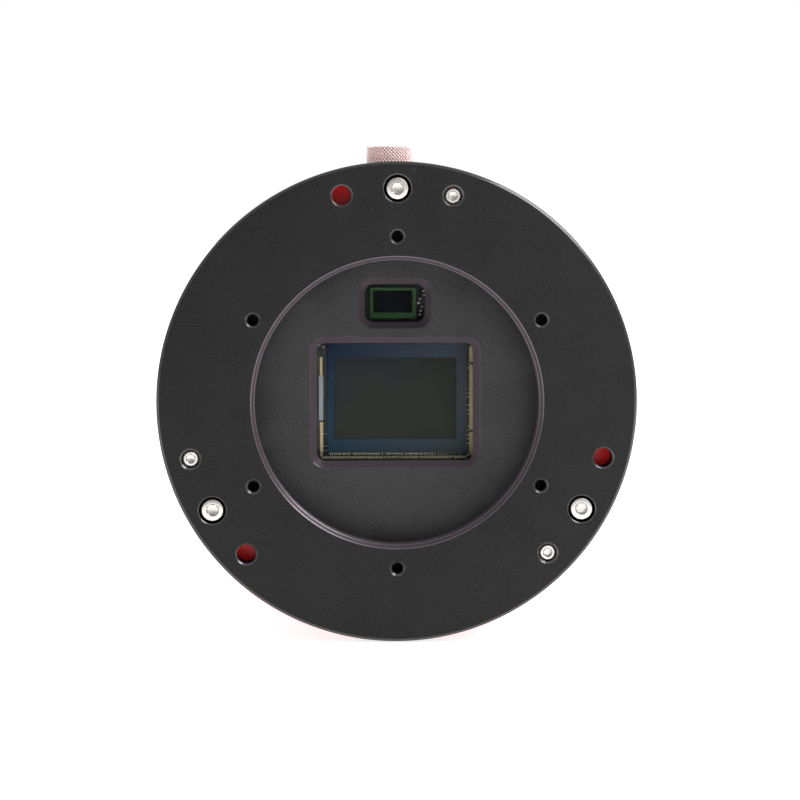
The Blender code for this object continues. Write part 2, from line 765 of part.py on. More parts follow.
def make_body_shell():
    """Red tube with cooling slots, screw bosses inside and a flat pocket for the antenna."""
    profile = [
        (BODY_RADIUS - 0.4, SHELL_FRONT),
        (BODY_RADIUS, SHELL_FRONT - 0.4),
        (BODY_RADIUS, SHELL_BACK + 0.4),
        (BODY_RADIUS - 0.4, SHELL_BACK),
        (BODY_INSIDE, SHELL_BACK),
        (BODY_INSIDE, SHELL_FRONT),
    ]
    shell = turned("body_shell", profile, BODY_SEGMENTS, closed=True)
    boss_length = 8.0
    join(
        shell,
        *[
            rod(BOSS_RADIUS, SHELL_FRONT - boss_length, SHELL_FRONT, polar(BOSS_CIRCLE, a), 12)
            for a in FRONT_BOSS_ANGLES
        ],
        *[
            rod(BOSS_RADIUS, SHELL_BACK, SHELL_BACK + boss_length, polar(BOSS_CIRCLE, a), 12)
            for a in REAR_BOSS_ANGLES
        ],
    )
    wall = (BODY_RADIUS + BODY_INSIDE) / 2
    slots = []
    for angle in vent_angles():
        turn = Matrix.Rotation(math.radians(angle), 4, "Z")
        slots.append(box((8.0, VENT_WIDTH, VENT_LENGTH), (*polar(wall, angle), VENT_CENTRE), turn=turn))
    cut(
        shell,
        *slots,
        *[
            rod(SHANK_HOLE, SHELL_FRONT - 6.5, SHELL_FRONT + EXTRA, polar(BOSS_CIRCLE, a), HOLE_SEGMENTS)
            for a in FRONT_BOSS_ANGLES
        ],
        *[
            rod(SHANK_HOLE, SHELL_BACK - EXTRA, SHELL_BACK + 7.0, polar(BOSS_CIRCLE, a), HOLE_SEGMENTS)
            for a in REAR_BOSS_ANGLES
        ],
        rod(THREAD_RADIUS + GAP, 38.0, POCKET_FLOOR + 0.5, (0.0, ANTENNA_STATION), 16, along="Y"),
    )
    cut(shell, rod(POCKET_RADIUS, POCKET_FLOOR, 48.0, (0.0, ANTENNA_STATION), 24, along="Y"))
    finish(shell, "red_anodised")


def pillars(front, back, angles):
    """Hexagonal spacers that stand on a face at front and stop just short of the board at back."""
    root = front + 0.5
    return [rod(2.2, back + GAP, root, polar(PILLAR_CIRCLE, a), 6) for a in angles]


def make_round_board(name, front):
    """Full round board with a hole for the air and a notch at the top for the antenna lead."""
    back = front - BOARD_THICKNESS
    middle = (front + back) / 2
    board = solid(name, rod(40.3, back, front, segments=36))
    cut(board, rod(24.0, back - EXTRA, front + EXTRA, FAN_CENTRE, 24))
    cut(board, box((8.0, 14.0, 4.0), (0.0, 36.0, middle)))
    return board


def make_boards():
    """Camera board and computer board, with their main chips standing on them."""
    camera = make_round_board("camera_board", CAMERA_BOARD_FRONT)
    back = CAMERA_BOARD_FRONT - BOARD_THICKNESS
    join(
        camera,
        box(CAMERA_CHIP, (*CAMERA_CHIP_PLACE, back - CHIP_LIFT)),
        box(MEMORY_CHIP, (*MEMORY_CHIP_PLACE, back - CHIP_LIFT)),
    )
    join(camera, *pillars(back, COMPUTER_BOARD_FRONT, PILLAR_ANGLES))
    finish(camera, "circuit_board")
    computer = make_round_board("computer_board", COMPUTER_BOARD_FRONT)
    back = COMPUTER_BOARD_FRONT - BOARD_THICKNESS
    join(computer, box((24.0, 13.0, 3.0), (0.0, -27.0, back - 1.2)))
    join(computer, *pillars(back, PORT_BOARD_FRONT, PILLAR_ANGLES[2:]))
    finish(computer, "circuit_board")


def make_port_board():
    """Board that carries the sockets and the reset switch, wrapped round three sides of the fan."""
    back = PORT_BOARD_FRONT - BOARD_THICKNESS
    middle = (PORT_BOARD_FRONT + back) / 2
    board = solid("port_board", rod(40.5, back, PORT_BOARD_FRONT, segments=36))
    cut(board, box((100.0, 80.0, 4.0), (0.0, 40.0 - 17.6, middle)))
    ears = [box((7.0, 20.0, BOARD_THICKNESS), (x, -10.0, middle)) for x in (-29.3, 29.3)]
    join(board, *ears)
    x, y = RESET_PLACE
    join(board, box((5.6, 5.6, back + 0.5 - SWITCH_BACK), (x, y, (back + 0.5 + SWITCH_BACK) / 2)))
    join(board, rod(1.0, SWITCH_BACK - 0.4, SWITCH_BACK + 0.5, RESET_PLACE, 12))
    finish(board, "circuit_board")


# ---------------------------------------------------------------- leads inside the body


def make_leads():
    """Leads held inside the camera along their whole way."""
    front = SENSOR_BOARD_FRONT - BOARD_THICKNESS - GAP
    back = CAMERA_BOARD_FRONT + GAP
    middle = (front + back) / 2
    ribbon = solid("sensor_ribbon", box((*RIBBON_SECTION, front - back), (0.0, RIBBON_Y, middle)))
    half = RIBBON_PLUG[2] / 2
    join(ribbon, *[box(RIBBON_PLUG, (0.0, RIBBON_Y, z)) for z in (front - half, back + half)])
    finish(ribbon, "flex")
    cooler_lead = lead(
        "cooler_lead",
        [
            (15.8, -10.0, -23.0),
            (20.0, -10.0, -23.0),
            (22.2, -10.0, -24.6),
            (22.5, -10.0, -27.0),
            (22.5, -10.0, -32.0),
            (22.5, -10.0, -44.0),
            (24.5, -13.0, back),
        ],
        THIN_LEAD,
    )
    finish(cooler_lead, "white_plastic")
    fan_lead = lead(
        "fan_lead",
        [
            (-21.0, -14.0, FAN_FRONT + GAP),
            (-22.0, -14.5, -76.0),
            (-26.0, -16.0, -73.0),
            (-27.0, -16.0, COMPUTER_BOARD_FRONT - BOARD_THICKNESS - GAP),
        ],
        FAN_LEAD,
    )
    finish(fan_lead, "black_plastic")
    antenna_lead = lead(
        "antenna_lead",
        [
            (0.0, 36.0, ANTENNA_STATION),
            (0.0, 35.0, -40.1),
            (0.0, 34.2, -43.0),
            (0.0, 34.6, -50.0),
            (0.2, 34.6, -58.5),
            (4.5, 34.8, -62.5),
            (7.0, 35.0, COMPUTER_BOARD_FRONT + GAP),
        ],
        THIN_LEAD,
    )
    finish(antenna_lead, "black_plastic")


# ---------------------------------------------------------------- antenna


def make_antenna():
    """Threaded socket through the shell, its nut inside, and the cap with its washer."""
    place = (0.0, 0.0, ANTENNA_STATION)
    socket_profile = [
        (0.0, 46.2),
        (0.5, 46.2),
        (0.5, 44.6),
        (2.3, 44.6),
        (2.3, 47.0),
        (THREAD_RADIUS, 47.0),
        (THREAD_RADIUS, CAP_LOW - GAP),
        (4.3, CAP_LOW - GAP),
        (4.3, POCKET_FLOOR + GAP),
        (THREAD_RADIUS, POCKET_FLOOR + GAP),
        (THREAD_RADIUS, 37.5),
        (1.6, 37.5),
        (1.6, 36.4),
        (0.0, 36.4),
    ]
    finish(turned("antenna_socket", socket_profile, 16, place, along="Y"), "gold")
    nut = solid("antenna_nut", rod(hexagon_radius(8.0), 38.3, 40.4, (0.0, ANTENNA_STATION), 6, along="Y"))
    cut(nut, rod(THREAD_RADIUS + GAP, 37.0, 42.0, (0.0, ANTENNA_STATION), 20, along="Y"))
    finish(nut, "gold")
    bore, roof = THREAD_RADIUS + GAP, 48.0
    cap_profile = [
        (0.0, CAP_TOP),
        (CAP_RADIUS - 0.4, CAP_TOP),
        (CAP_RADIUS, CAP_TOP - 0.4),
        (CAP_RADIUS, CAP_LOW + 0.4),
        (CAP_RADIUS - 0.4, CAP_LOW),
        (bore, CAP_LOW),
        (bore, roof),
        (0.0, roof),
    ]
    finish(turned("antenna_cap", cap_profile, 32, place, along="Y"), "steel")
    washer = [(0.0, roof - GAP), (2.9, roof - GAP), (2.9, roof - 0.7), (0.0, roof - 0.7)]
    finish(turned("cap_gasket", washer, 16, place, along="Y"), "seal_rubber")


# ---------------------------------------------------------------- fan and rear cover


def fan_corner_places():
    x, y = FAN_CENTRE
    s = FAN_SCREW_SPACING
    return [(x + a * s, y + b * s) for a in (-1, 1) for b in (-1, 1)]


def make_fan():
    """Square frame with a hub on three struts, and the rotor that turns in it."""
    middle = (FAN_FRONT + FAN_BACK) / 2
    frame = solid(
        "fan_frame", box((FAN_SIZE, FAN_SIZE, FAN_FRONT - FAN_BACK), (*FAN_CENTRE, middle), corner=3.0)
    )
    cut(frame, rod(DUCT_RADIUS, FAN_BACK - EXTRA, FAN_FRONT + EXTRA, FAN_CENTRE, 36))
    hub_back = FAN_FRONT - 1.5
    join(frame, rod(9.0, hub_back, FAN_FRONT, FAN_CENTRE, 20))
    struts = []
    for angle in PULL_ANGLES:
        x, y = polar(16.3, angle)
        turn = Matrix.Rotation(math.radians(angle), 4, "Z")
        place = (FAN_CENTRE[0] + x, FAN_CENTRE[1] + y, FAN_FRONT - 0.9)
        struts.append(box((16.4, 3.0, 1.2), place, turn=turn))
    join(frame, *struts)
    low, high = FAN_BACK - EXTRA, FAN_BACK + FAN_HOLE_DEPTH
    cut(frame, *[rod(SHANK_HOLE, low, high, p, HOLE_SEGMENTS) for p in fan_corner_places()])
    finish(frame, "black_plastic")

    hub_front, hub_end = FAN_FRONT - 2.0, FAN_BACK + 0.8
    origin = (*FAN_CENTRE, (hub_front + hub_end) / 2)
    rotor = solid("fan_rotor", rod(9.0, hub_end, hub_front, FAN_CENTRE, 24), origin=origin)
    blades = []
    for n in range(FAN_BLADES):
        angle = 360.0 * n / FAN_BLADES
        x, y = polar(15.5, angle)
        turn = Matrix.Rotation(math.radians(angle), 4, "Z") @ Matrix.Rotation(math.radians(40.0), 4, "X")
        blades.append(box((14.0, 9.0, 0.9), (FAN_CENTRE[0] + x, FAN_CENTRE[1] + y, origin[2]), turn=turn))
    join(rotor, *blades)
    finish(rotor, "black_plastic")


def make_fan_grille():
    """Finger guard of rings and bars in a square plate."""
    middle = (GRILLE_FRONT + GRILLE_BACK) / 2
    thickness = GRILLE_FRONT - GRILLE_BACK
    grille = solid("fan_grille", box((FAN_SIZE, FAN_SIZE, thickness), (*FAN_CENTRE, middle), corner=3.0))
    low, high = GRILLE_BACK - EXTRA, GRILLE_FRONT + EXTRA
    cut(
        grille,
        rod(GRILLE_OPENING, low, high, FAN_CENTRE, 32),
        *[rod(SHANK_HOLE, low, high, p, HOLE_SEGMENTS) for p in fan_corner_places()],
    )
    for angle in (45.0, 135.0):
        turn = Matrix.Rotation(math.radians(angle), 4, "Z")
        join(grille, box((*GRILLE_BAR, thickness * 0.8), (*FAN_CENTRE, middle), turn=turn))
    half = thickness * 0.45
    for radius in GRILLE_RINGS:
        outer, inner = radius + GRILLE_RING_HALF, radius - GRILLE_RING_HALF
        section = [(outer, half), (outer, -half), (inner, -half), (inner, half)]
        name = f"fan_grille_ring_{radius:.0f}"
        combine(grille, "UNION", turned(name, section, 24, (*FAN_CENTRE, middle), closed=True))
    join(grille, rod(4.4, GRILLE_BACK, GRILLE_FRONT, FAN_CENTRE, 16))
    finish(grille, "black_anodised")


def port_outlines():
    """The holes that the sockets, the light and the button come through."""
    low, high = COVER_BACK - EXTRA, COVER_INSIDE + EXTRA
    depth, middle = high - low, (high + low) / 2
    sockets = [(DC_INPUT_X, DC_ROW), *[(x, DC_ROW) for x in DC_OUTPUT_X]]
    shapes = [rod(DC_NOSE_RADIUS + GAP, low, high, p, 16) for p in sockets]
    shapes += [box((USB_A_SIZE[0] + 0.8, USB_A_SIZE[1] + 0.8, depth), (*p, middle)) for p in USB_A_PLACES]
    usb_c = (USB_C_SIZE[0] + 0.8, USB_C_SIZE[1] + 0.8, depth)
    shapes.append(box(usb_c, (*USB_C_PLACE, middle), corner=1.9))
    shapes.append(rod(1.5, low, high, LIGHT_PLACE, 12))
    shapes.append(rod(1.8, low, high, RESET_PLACE, 12))
    return shapes


def make_rear_cover():
    """Black cup that closes the back, with the air outlet, port holes and screw columns."""
    profile = [
        (0.0, COVER_INSIDE),
        (BODY_INSIDE, COVER_INSIDE),
        (BODY_INSIDE, COVER_FRONT),
        (BODY_RADIUS - 0.4, COVER_FRONT),
        (BODY_RADIUS, COVER_FRONT - 0.4),
        (BODY_RADIUS, COVER_BACK + 1.2),
        (BODY_RADIUS - 1.2, COVER_BACK),
        (0.0, COVER_BACK),
    ]
    cover = turned("rear_cover", profile, BODY_SEGMENTS)
    columns = [polar(BOSS_CIRCLE, a) for a in REAR_BOSS_ANGLES]
    join(cover, *[rod(BOSS_RADIUS, COVER_INSIDE - 0.5, COVER_FRONT, p, 12) for p in columns])
    low = COVER_BACK - EXTRA
    cut(
        cover,
        rod(22.5, low, COVER_INSIDE + EXTRA, FAN_CENTRE, 40),
        *port_outlines(),
        *[rod(SHANK_HOLE, low, COVER_FRONT + EXTRA, p, HOLE_SEGMENTS) for p in columns],
        *[rod(SHANK_HOLE, low, COVER_INSIDE + EXTRA, p, HOLE_SEGMENTS) for p in fan_corner_places()],
    )
    recess = COVER_BACK + 2.0
    cut(cover, *[rod(2.6, low, recess, p, 12) for p in [*columns, *fan_corner_places()]])
    finish(cover, "black_anodised")


# ---------------------------------------------------------------- ports and controls


def make_dc_jack(name, x):
    """Barrel jack: block, round nose, bore and centre pin."""
    place = (x, DC_ROW)
    front, shoulder = PORT_FRONT, COVER_INSIDE + GAP
    jack = solid(name, box((*DC_BODY, front - shoulder), (*place, (front + shoulder) / 2)))
    join(jack, rod(DC_NOSE_RADIUS, PORT_END, shoulder + 1.0, place, 16))
    cut(jack, rod(DC_BORE_RADIUS, PORT_END - EXTRA, -90.2, place, 12))
    join(jack, rod(DC_PIN_RADIUS, PORT_END + 0.8, -89.5, place, 6))
    finish(jack, "black_plastic")


def make_usb_c_port():
    """Rounded metal shell round a thin tongue."""
    front = PORT_FRONT
    middle = (front + PORT_END) / 2
    port = solid("usb_c_port", box((*USB_C_SIZE, front - PORT_END), (*USB_C_PLACE, middle), corner=1.5))
    inner = (USB_C_SIZE[0] - 0.6, USB_C_SIZE[1] - 0.6, 7.7)
    cut(port, box(inner, (*USB_C_PLACE, PORT_END - EXTRA + 3.85), corner=1.2))
    join(port, box((6.6, 0.7, 6.0), (*USB_C_PLACE, PORT_END + 4.2)))
    finish(port, "steel")


def make_usb_a_port(name, place):
    """Rectangular metal shell round a tongue."""
    front, end = PORT_FRONT, PORT_END
    port = solid(name, box((*USB_A_SIZE, front - end), (*place, (front + end) / 2)))
    cut(port, box((USB_A_SIZE[0] - 0.6, USB_A_SIZE[1] - 0.6, 10.0), (*place, end + 4.0)))
    join(port, box((11.1, 1.8, 8.6), (place[0], place[1] + 0.9, end + 5.2)))
    finish(port, "steel")


def make_controls():
    """Status light pipe, and the reset button behind the rear cover."""
    light = solid("status_light", rod(1.2, PORT_END, PORT_FRONT, LIGHT_PLACE, 12))
    finish(light, "clear_plastic")
    flange_back = COVER_INSIDE + GAP
    profile = [
        (0.0, SWITCH_BACK - 1.2),
        (1.5, SWITCH_BACK - 1.2),
        (1.5, flange_back + 1.0),
        (2.4, flange_back + 1.0),
        (2.4, flange_back),
        (1.5, flange_back),
        (1.5, PORT_END + 0.3),
        (1.2, PORT_END),
        (0.0, PORT_END),
    ]
    button = turned("reset_button", profile, 12, origin=(*RESET_PLACE, 0.0))
    finish(button, "white_plastic")


# ---------------------------------------------------------------- assembly


def main():
    make_tilt_plate()
    for number, angle in enumerate(PULL_ANGLES, start=1):
        make_pull_screw(f"pull_screw_{number}", polar(SCREW_CIRCLE, angle))
        make_push_screw(f"push_screw_{number}", polar(SCREW_CIRCLE, angle + PUSH_TURN))
    make_front_housing()
    make_chamber_lid()
    finish(ring("lid_seal", LID_SEAL_RADIUS, 1.0, 32, (0.0, 0.0, -10.15)), "seal_rubber")
    make_window("main_window", MAIN_WINDOW, MAIN_GLASS)
    make_window("guide_window", GUIDE_WINDOW, GUIDE_GLASS)
    make_window_seal("main_window_seal", MAIN_WINDOW, MAIN_GLASS, MAIN_CLEAR)
    make_window_seal("guide_window_seal", GUIDE_WINDOW, GUIDE_GLASS, GUIDE_CLEAR)
    make_main_sensor()
    make_guide_sensor()
    make_sensor_board()
    make_cold_finger()
    make_cooler()
    make_insulation()
    make_drying_compartment()
    make_heat_sink()
    for number, angle in enumerate(FRONT_BOSS_ANGLES, start=1):
        place = polar(BOSS_CIRCLE, angle)
        head_end = HOUSING_FRONT - GAP
        long_screw(f"housing_screw_{number}", place, head_end, head_end - 2.4, -35.5, 2.0)
    make_body_shell()
    make_boards()
    make_port_board()
    make_leads()
    make_antenna()
    make_fan()
    make_fan_grille()
    make_rear_cover()
    for number, angle in enumerate(REAR_BOSS_ANGLES, start=1):
        head_end = COVER_BACK + 0.2
        long_screw(f"rear_screw_{number}", polar(BOSS_CIRCLE, angle), head_end, head_end + 1.5, -80.0, 1.5)
    make_dc_jack("dc_input_jack", DC_INPUT_X)
    for number, x in enumerate(DC_OUTPUT_X, start=1):
        make_dc_jack(f"dc_output_jack_{number}", x)
    make_usb_c_port()
    for number, place in enumerate(USB_A_PLACES, start=1):
        make_usb_a_port(f"usb_a_port_{number}", place)
    make_controls()


main()
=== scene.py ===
"""Looks of the cooled astronomy camera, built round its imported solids.

Shapes are written in millimetres in the optical frame: x to the right, y up and z out of the front
face, which is z = 0. TO_WORLD turns them into the frame's metres, with the optical axis along -Y.
"""

import math
import random

import bmesh
import bpy
from mathutils import Matrix, Vector


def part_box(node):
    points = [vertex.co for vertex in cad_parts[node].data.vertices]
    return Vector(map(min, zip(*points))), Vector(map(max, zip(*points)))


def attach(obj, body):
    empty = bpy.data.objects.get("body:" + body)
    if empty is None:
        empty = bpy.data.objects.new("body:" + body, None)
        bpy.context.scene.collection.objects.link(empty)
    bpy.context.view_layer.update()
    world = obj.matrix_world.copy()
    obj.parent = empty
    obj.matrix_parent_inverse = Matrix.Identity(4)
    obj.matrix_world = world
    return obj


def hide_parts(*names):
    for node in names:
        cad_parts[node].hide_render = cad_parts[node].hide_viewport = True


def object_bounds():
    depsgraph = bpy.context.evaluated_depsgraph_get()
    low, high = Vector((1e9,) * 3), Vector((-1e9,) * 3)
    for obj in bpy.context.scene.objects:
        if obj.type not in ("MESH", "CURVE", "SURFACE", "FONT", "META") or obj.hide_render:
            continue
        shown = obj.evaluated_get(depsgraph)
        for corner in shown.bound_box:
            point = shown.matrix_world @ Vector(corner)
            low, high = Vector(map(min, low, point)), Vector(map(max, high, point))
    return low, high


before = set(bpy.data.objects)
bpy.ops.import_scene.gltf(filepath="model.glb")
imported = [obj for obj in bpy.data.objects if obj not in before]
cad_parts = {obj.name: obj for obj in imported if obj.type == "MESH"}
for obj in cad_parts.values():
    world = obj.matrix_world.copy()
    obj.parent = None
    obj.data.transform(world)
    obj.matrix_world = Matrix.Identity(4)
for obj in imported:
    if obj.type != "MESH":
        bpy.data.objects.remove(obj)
cad_low, cad_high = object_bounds()

MM = 0.001
TO_WORLD = Matrix.Rotation(math.pi / 2, 4, "X") @ Matrix.Scale(MM, 4)
EXTRA = 1.0  # how far a cutter reaches past the face it opens
FINE = 256
MEDIUM = 96
SMALL = 48


def span(node):
    """The low and high corners of a CAD node in the optical frame, in millimetres."""
    low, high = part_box(node)
    return (
        Vector((low.x, low.z, -high.y)) / MM,
        Vector((high.x, high.z, -low.y)) / MM,
    )


def place_at(node):
    """The x and y of the centre of a node's box."""
    low, high = span(node)
    middle = (low + high) / 2
    return middle.x, middle.y


PLATE_LOW, PLATE_HIGH = span("tilt_plate")
HOUSING_LOW, HOUSING_HIGH = span("front_housing")
LID_LOW, LID_HIGH = span("chamber_lid")
SHELL_LOW, SHELL_HIGH = span("body_shell")
COVER_LOW, COVER_HIGH = span("rear_cover")
FAN_LOW, FAN_HIGH = span("fan_frame")
GRILLE_LOW, GRILLE_HIGH = span("fan_grille")

PLATE_RADIUS = PLATE_HIGH.x
OPENING_RADIUS = 26.7
SCREW_CIRCLE = 40.0
TAPPED_CIRCLE = 31.1
PULL_ANGLES = (90.0, 210.0, 330.0)
PUSH_TURN = -15.0
SIGHT_TURN = 15.0
BODY_RADIUS = 44.5
BODY_INSIDE = 41.2
LID_SCREW_CIRCLE = 32.0
BOSS_CIRCLE = 39.0
FRONT_BOSS_ANGLES = (30.0, 150.0, 270.0)
REAR_BOSS_ANGLES = (20.0, 160.0, 200.0, 340.0)
HEAT_SCREW_CIRCLE = 36.0
SCREW_HOLE = 1.55
HEAD_HOLE = 2.6
FAN_CENTRE = (0.0, 8.0)
FAN_SCREW_REACH = 20.0
ANTENNA_STATION = -40.0
SLOT_STATION = -40.0
BOSS_LENGTH = 8.0
DRY_STATION = -16.0
MAIN_WINDOW = (-0.25, -0.25)
GUIDE_WINDOW = (-0.3, 18.5)


# ---------------------------------------------------------------- shapes


def polar(radius, degrees):
    """The point (x, y) at a radius and an angle from +x."""
    turn = math.radians(degrees)
    return radius * math.cos(turn), radius * math.sin(turn)


def turned(rows, at, along, closed=False):
    """A shape through rows (height, radii round the axis). A single radius is a point on the axis."""

    def add(bm):
        rings = []
        for height, radii in rows:
            ring = []
            for n, radius in enumerate(radii):
                x, y = polar(radius, 360.0 * n / len(radii))
                ring.append(bm.verts.new((x, y, height)))
            rings.append(ring)
        pairs = list(zip(rings, rings[1:]))
        if closed:
            pairs.append((rings[-1], rings[0]))
        for one, two in pairs:
            bridge(bm, one, two)
        bmesh.ops.transform(bm, matrix=axis_matrix(at, along), verts=bm.verts)

    return add


def round_rows(profile, segments):
    """Rows for points (radius, height), each a whole ring or a point on the axis."""
    return [(height, [radius] * segments if radius > 0.0 else [0.0]) for radius, height in profile]


def lathe(profile, segments, at=(0.0, 0.0), along="Z", closed=False):
    """A round shape through points (radius, height), with a flat end where it stops off the axis."""
    points = list(profile)
    if not closed and points[0][0] > 0.0:
        points.insert(0, (0.0, points[0][1]))
    if not closed and points[-1][0] > 0.0:
        points.append((0.0, points[-1][1]))
    return turned(round_rows(points, segments), at, along, closed)


def bridge(bm, one, two):
    """Faces between two rings, either of which may be a single point."""
    count = max(len(one), len(two))
    for n in range(count):
        m = (n + 1) % count
        corners = [one[n % len(one)], one[m % len(one)], two[m % len(two)], two[n % len(two)]]
        distinct = []
        for corner in corners:
            if corner not in distinct:
                distinct.append(corner)
        if len(distinct) > 2:
            bm.faces.new(distinct)


def axis_matrix(at, along):
    """Turns a shape's own z to an axis of the optical frame. at holds the other two coordinates."""
    if along == "X":
        return Matrix.Translation((0.0, at[0], at[1])) @ Matrix.Rotation(math.pi / 2, 4, "Y")
    if along == "Y":
        return Matrix.Translation((at[0], 0.0, at[1])) @ Matrix.Rotation(-math.pi / 2, 4, "X")
    return Matrix.Translation((at[0], at[1], 0.0))


def rounded_outline(width, height, corner, steps=6):
    """Points round a rectangle with rounded corners, anticlockwise."""
    corner = min(corner, width / 2 - 1e-4, height / 2 - 1e-4)
    points = []
    for quarter, (a, b) in enumerate(((1, 1), (-1, 1), (-1, -1), (1, -1))):
        cx, cy = a * (width / 2 - corner), b * (height / 2 - corner)
        for n in range(steps + 1):
            x, y = polar(corner, 90.0 * quarter + 90.0 * n / steps)
            points.append((cx + x, cy + y))
    return points


def stack(levels, at=(0.0, 0.0), steps=6, turn=None):
    """A solid through rounded rectangles, each a (z, width, height, corner)."""

    def add(bm):
        loops = []
        for z, width, height, corner in levels:
            outline = rounded_outline(width, height, corner, steps)
            loops.append([bm.verts.new((at[0] + x, at[1] + y, z)) for x, y in outline])
        for one, two in zip(loops, loops[1:]):
            bridge(bm, one, two)
        bm.faces.new(loops[0])
        bm.faces.new(loops[-1])
        if turn:
            bmesh.ops.transform(bm, matrix=turn, verts=bm.verts)

    return add


def slab(size, at, corner=0.3, edge=0.0, turn=None):
    """A block with rounded upright edges and chamfered ends, centred at a point."""
    width, height, depth = size
    low, high = at[2] - depth / 2, at[2] + depth / 2
    end = (width - 2 * edge, height - 2 * edge, max(corner - edge, 0.02))
    levels = [(low, *end)]
    if edge:
        levels.append((low + edge, width, height, corner))
        levels.append((high - edge, width, height, corner))
    levels.append((high, *end))
    return stack(levels, at, 4, turn)


def node_slab(node, corner, edge):
    """A slab as large as a node's box."""
    low, high = span(node)
    return slab(high - low, (low + high) / 2, corner, edge)


def rod(radius, low, high, at=(0.0, 0.0), segments=SMALL, edge=0.0, along="Z"):
    """A round bar between two heights, with chamfered ends."""
    profile = [(radius, low), (radius, high)]
    if edge:
        profile = [(radius - edge, low), (radius, low + edge), (radius, high - edge), (radius - edge, high)]
    return lathe(profile, segments, at, along)


def hexagon(across_flats, low, high, at):
    return rod(across_flats / math.sqrt(3.0), low, high, at, 6)


def thread(crest, root, start, end, pitch):
    """Profile points of a thread's ridges from one height to another."""
    count = max(1, round(abs(end - start) / pitch))
    step = (end - start) / count
    points = []
    for n in range(count):
        points.append((root, start + step * (n + 0.12)))
        points.append((crest, start + step * (n + 0.5)))
        points.append((crest, start + step * (n + 0.62)))
    points.append((root, end))
    return points


def tube(points, radius, sides=8):
    """A round wire through points, closed at its ends."""

    def add(bm):
        rings = []
        places = [Vector(p) for p in points]
        for n, place in enumerate(places):
            ahead = places[min(n + 1, len(places) - 1)] - places[max(n - 1, 0)]
            basis = ahead.to_track_quat("Z", "Y").to_matrix()
            ring = []
            for k in range(sides):
                x, y = polar(radius, 360.0 * k / sides)
                ring.append(bm.verts.new(place + basis @ Vector((x, y, 0.0))))
            rings.append(ring)
        for one, two in zip(rings, rings[1:]):
            bridge(bm, one, two)
        bm.faces.new(rings[0])
        bm.faces.new(rings[-1])

    return add


def mesh_of(name, shapes):
    """One mesh in metres that holds every shape as a closed body."""
    whole = bmesh.new()
    for shape in shapes:
        one = bmesh.new()
        shape(one)
        bmesh.ops.recalc_face_normals(one, faces=one.faces)
        part = bpy.data.meshes.new("shape")
        one.to_mesh(part)
        one.free()
        whole.from_mesh(part)
        bpy.data.meshes.remove(part)
    bmesh.ops.transform(whole, matrix=TO_WORLD, verts=whole.verts)
    bmesh.ops.recalc_face_normals(whole, faces=whole.faces)
    mesh = bpy.data.meshes.new(name)
    whole.to_mesh(mesh)
    whole.free()
    return mesh


def linked(name, data):
    item = bpy.data.objects.new(name, data)
    bpy.context.scene.collection.objects.link(item)
    return item


def new_object(name, shapes):
    return linked(name, mesh_of(name, shapes))


def settle(item):
    """Gives a piece its evaluated mesh and drops its modifiers."""
    bpy.context.view_layer.update()
    graph = bpy.context.evaluated_depsgraph_get()
    mesh = bpy.data.meshes.new_from_object(item.evaluated_get(graph))
    item.modifiers.clear()
    item.data = mesh


def boolean(item, operation, shapes):
    tool = new_object("tool", shapes)
    step = item.modifiers.new("step", "BOOLEAN")
    step.operation = operation
    step.solver = "EXACT"
    step.object = tool
    settle(item)
    bpy.data.objects.remove(tool)


def cut(item, *shapes):
    boolean(item, "DIFFERENCE", shapes)


def join(item, *shapes):
    boolean(item, "UNION", shapes)


def wear(item, material, replaces=(), body="root", angle=30.0):
    """Dresses and shades a piece, and sets its body and the nodes that it replaces."""
    item.data.materials.clear()
    item.data.materials.append(material)
    item.data.shade_smooth()
    item.data.set_sharp_from_angle(angle=math.radians(angle))
    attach(item, body)
    if replaces:
        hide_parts(*replaces)


def trim(name, shapes, material, body="root"):
    """A small piece that no node of the CAD stands for."""
    wear(new_object(name, shapes), material, (), body)


def second_material(item, material, chosen):
    """Gives the faces that chosen(centre, normal) picks a second material."""
    item.data.materials.append(material)
    inverse = TO_WORLD.inverted()
    turn = TO_WORLD.to_3x3().inverted()
    for face in item.data.polygons:
        if chosen(inverse @ face.center, (turn @ face.normal).normalized()):
            face.material_index = len(item.data.materials) - 1


# ---------------------------------------------------------------- materials


def tree_of(name):
    material = bpy.data.materials.new(name)
    material.use_nodes = True
    return material, material.node_tree, material.node_tree.nodes["Principled BSDF"]


def add_node(tree, kind, inputs=None, **settings):
    """A node with its settings, and its inputs set to a value or linked from a socket."""
    made = tree.nodes.new(kind)
    for key, value in settings.items():
        setattr(made, key, value)
    for key, value in (inputs or {}).items():
        socket = made.inputs[key]
        if isinstance(value, bpy.types.NodeSocket):
            tree.links.new(value, socket)
        else:
            socket.default_value = value
    return made


def place_of(tree, grain, stretch=(1.0, 1.0, 1.0)):
    """Object coordinates scaled so that one unit is one grain, in millimetres."""
    where = add_node(tree, "ShaderNodeTexCoord")
    scale = [s / (grain * MM) for s in stretch]
    made = add_node(tree, "ShaderNodeMapping", {"Vector": where.outputs["Object"], "Scale": scale})
    return made.outputs["Vector"]


def noise(tree, grain, detail=2.0, stretch=(1.0, 1.0, 1.0)):
    made = add_node(
        tree,
        "ShaderNodeTexNoise",
        {"Vector": place_of(tree, grain, stretch), "Scale": 1.0, "Detail": detail},
    )
    return made.outputs["Fac"]


def blend(tree, share, one, two):
    """A colour between two colours, by a share from 0 to 1."""
    made = add_node(tree, "ShaderNodeMix", {"Factor": share}, data_type="RGBA")
    for index, value in ((6, one), (7, two)):
        if isinstance(value, bpy.types.NodeSocket):
            tree.links.new(value, made.inputs[index])
        else:
            made.inputs[index].default_value = (*value, 1.0)
    return made.outputs[2]


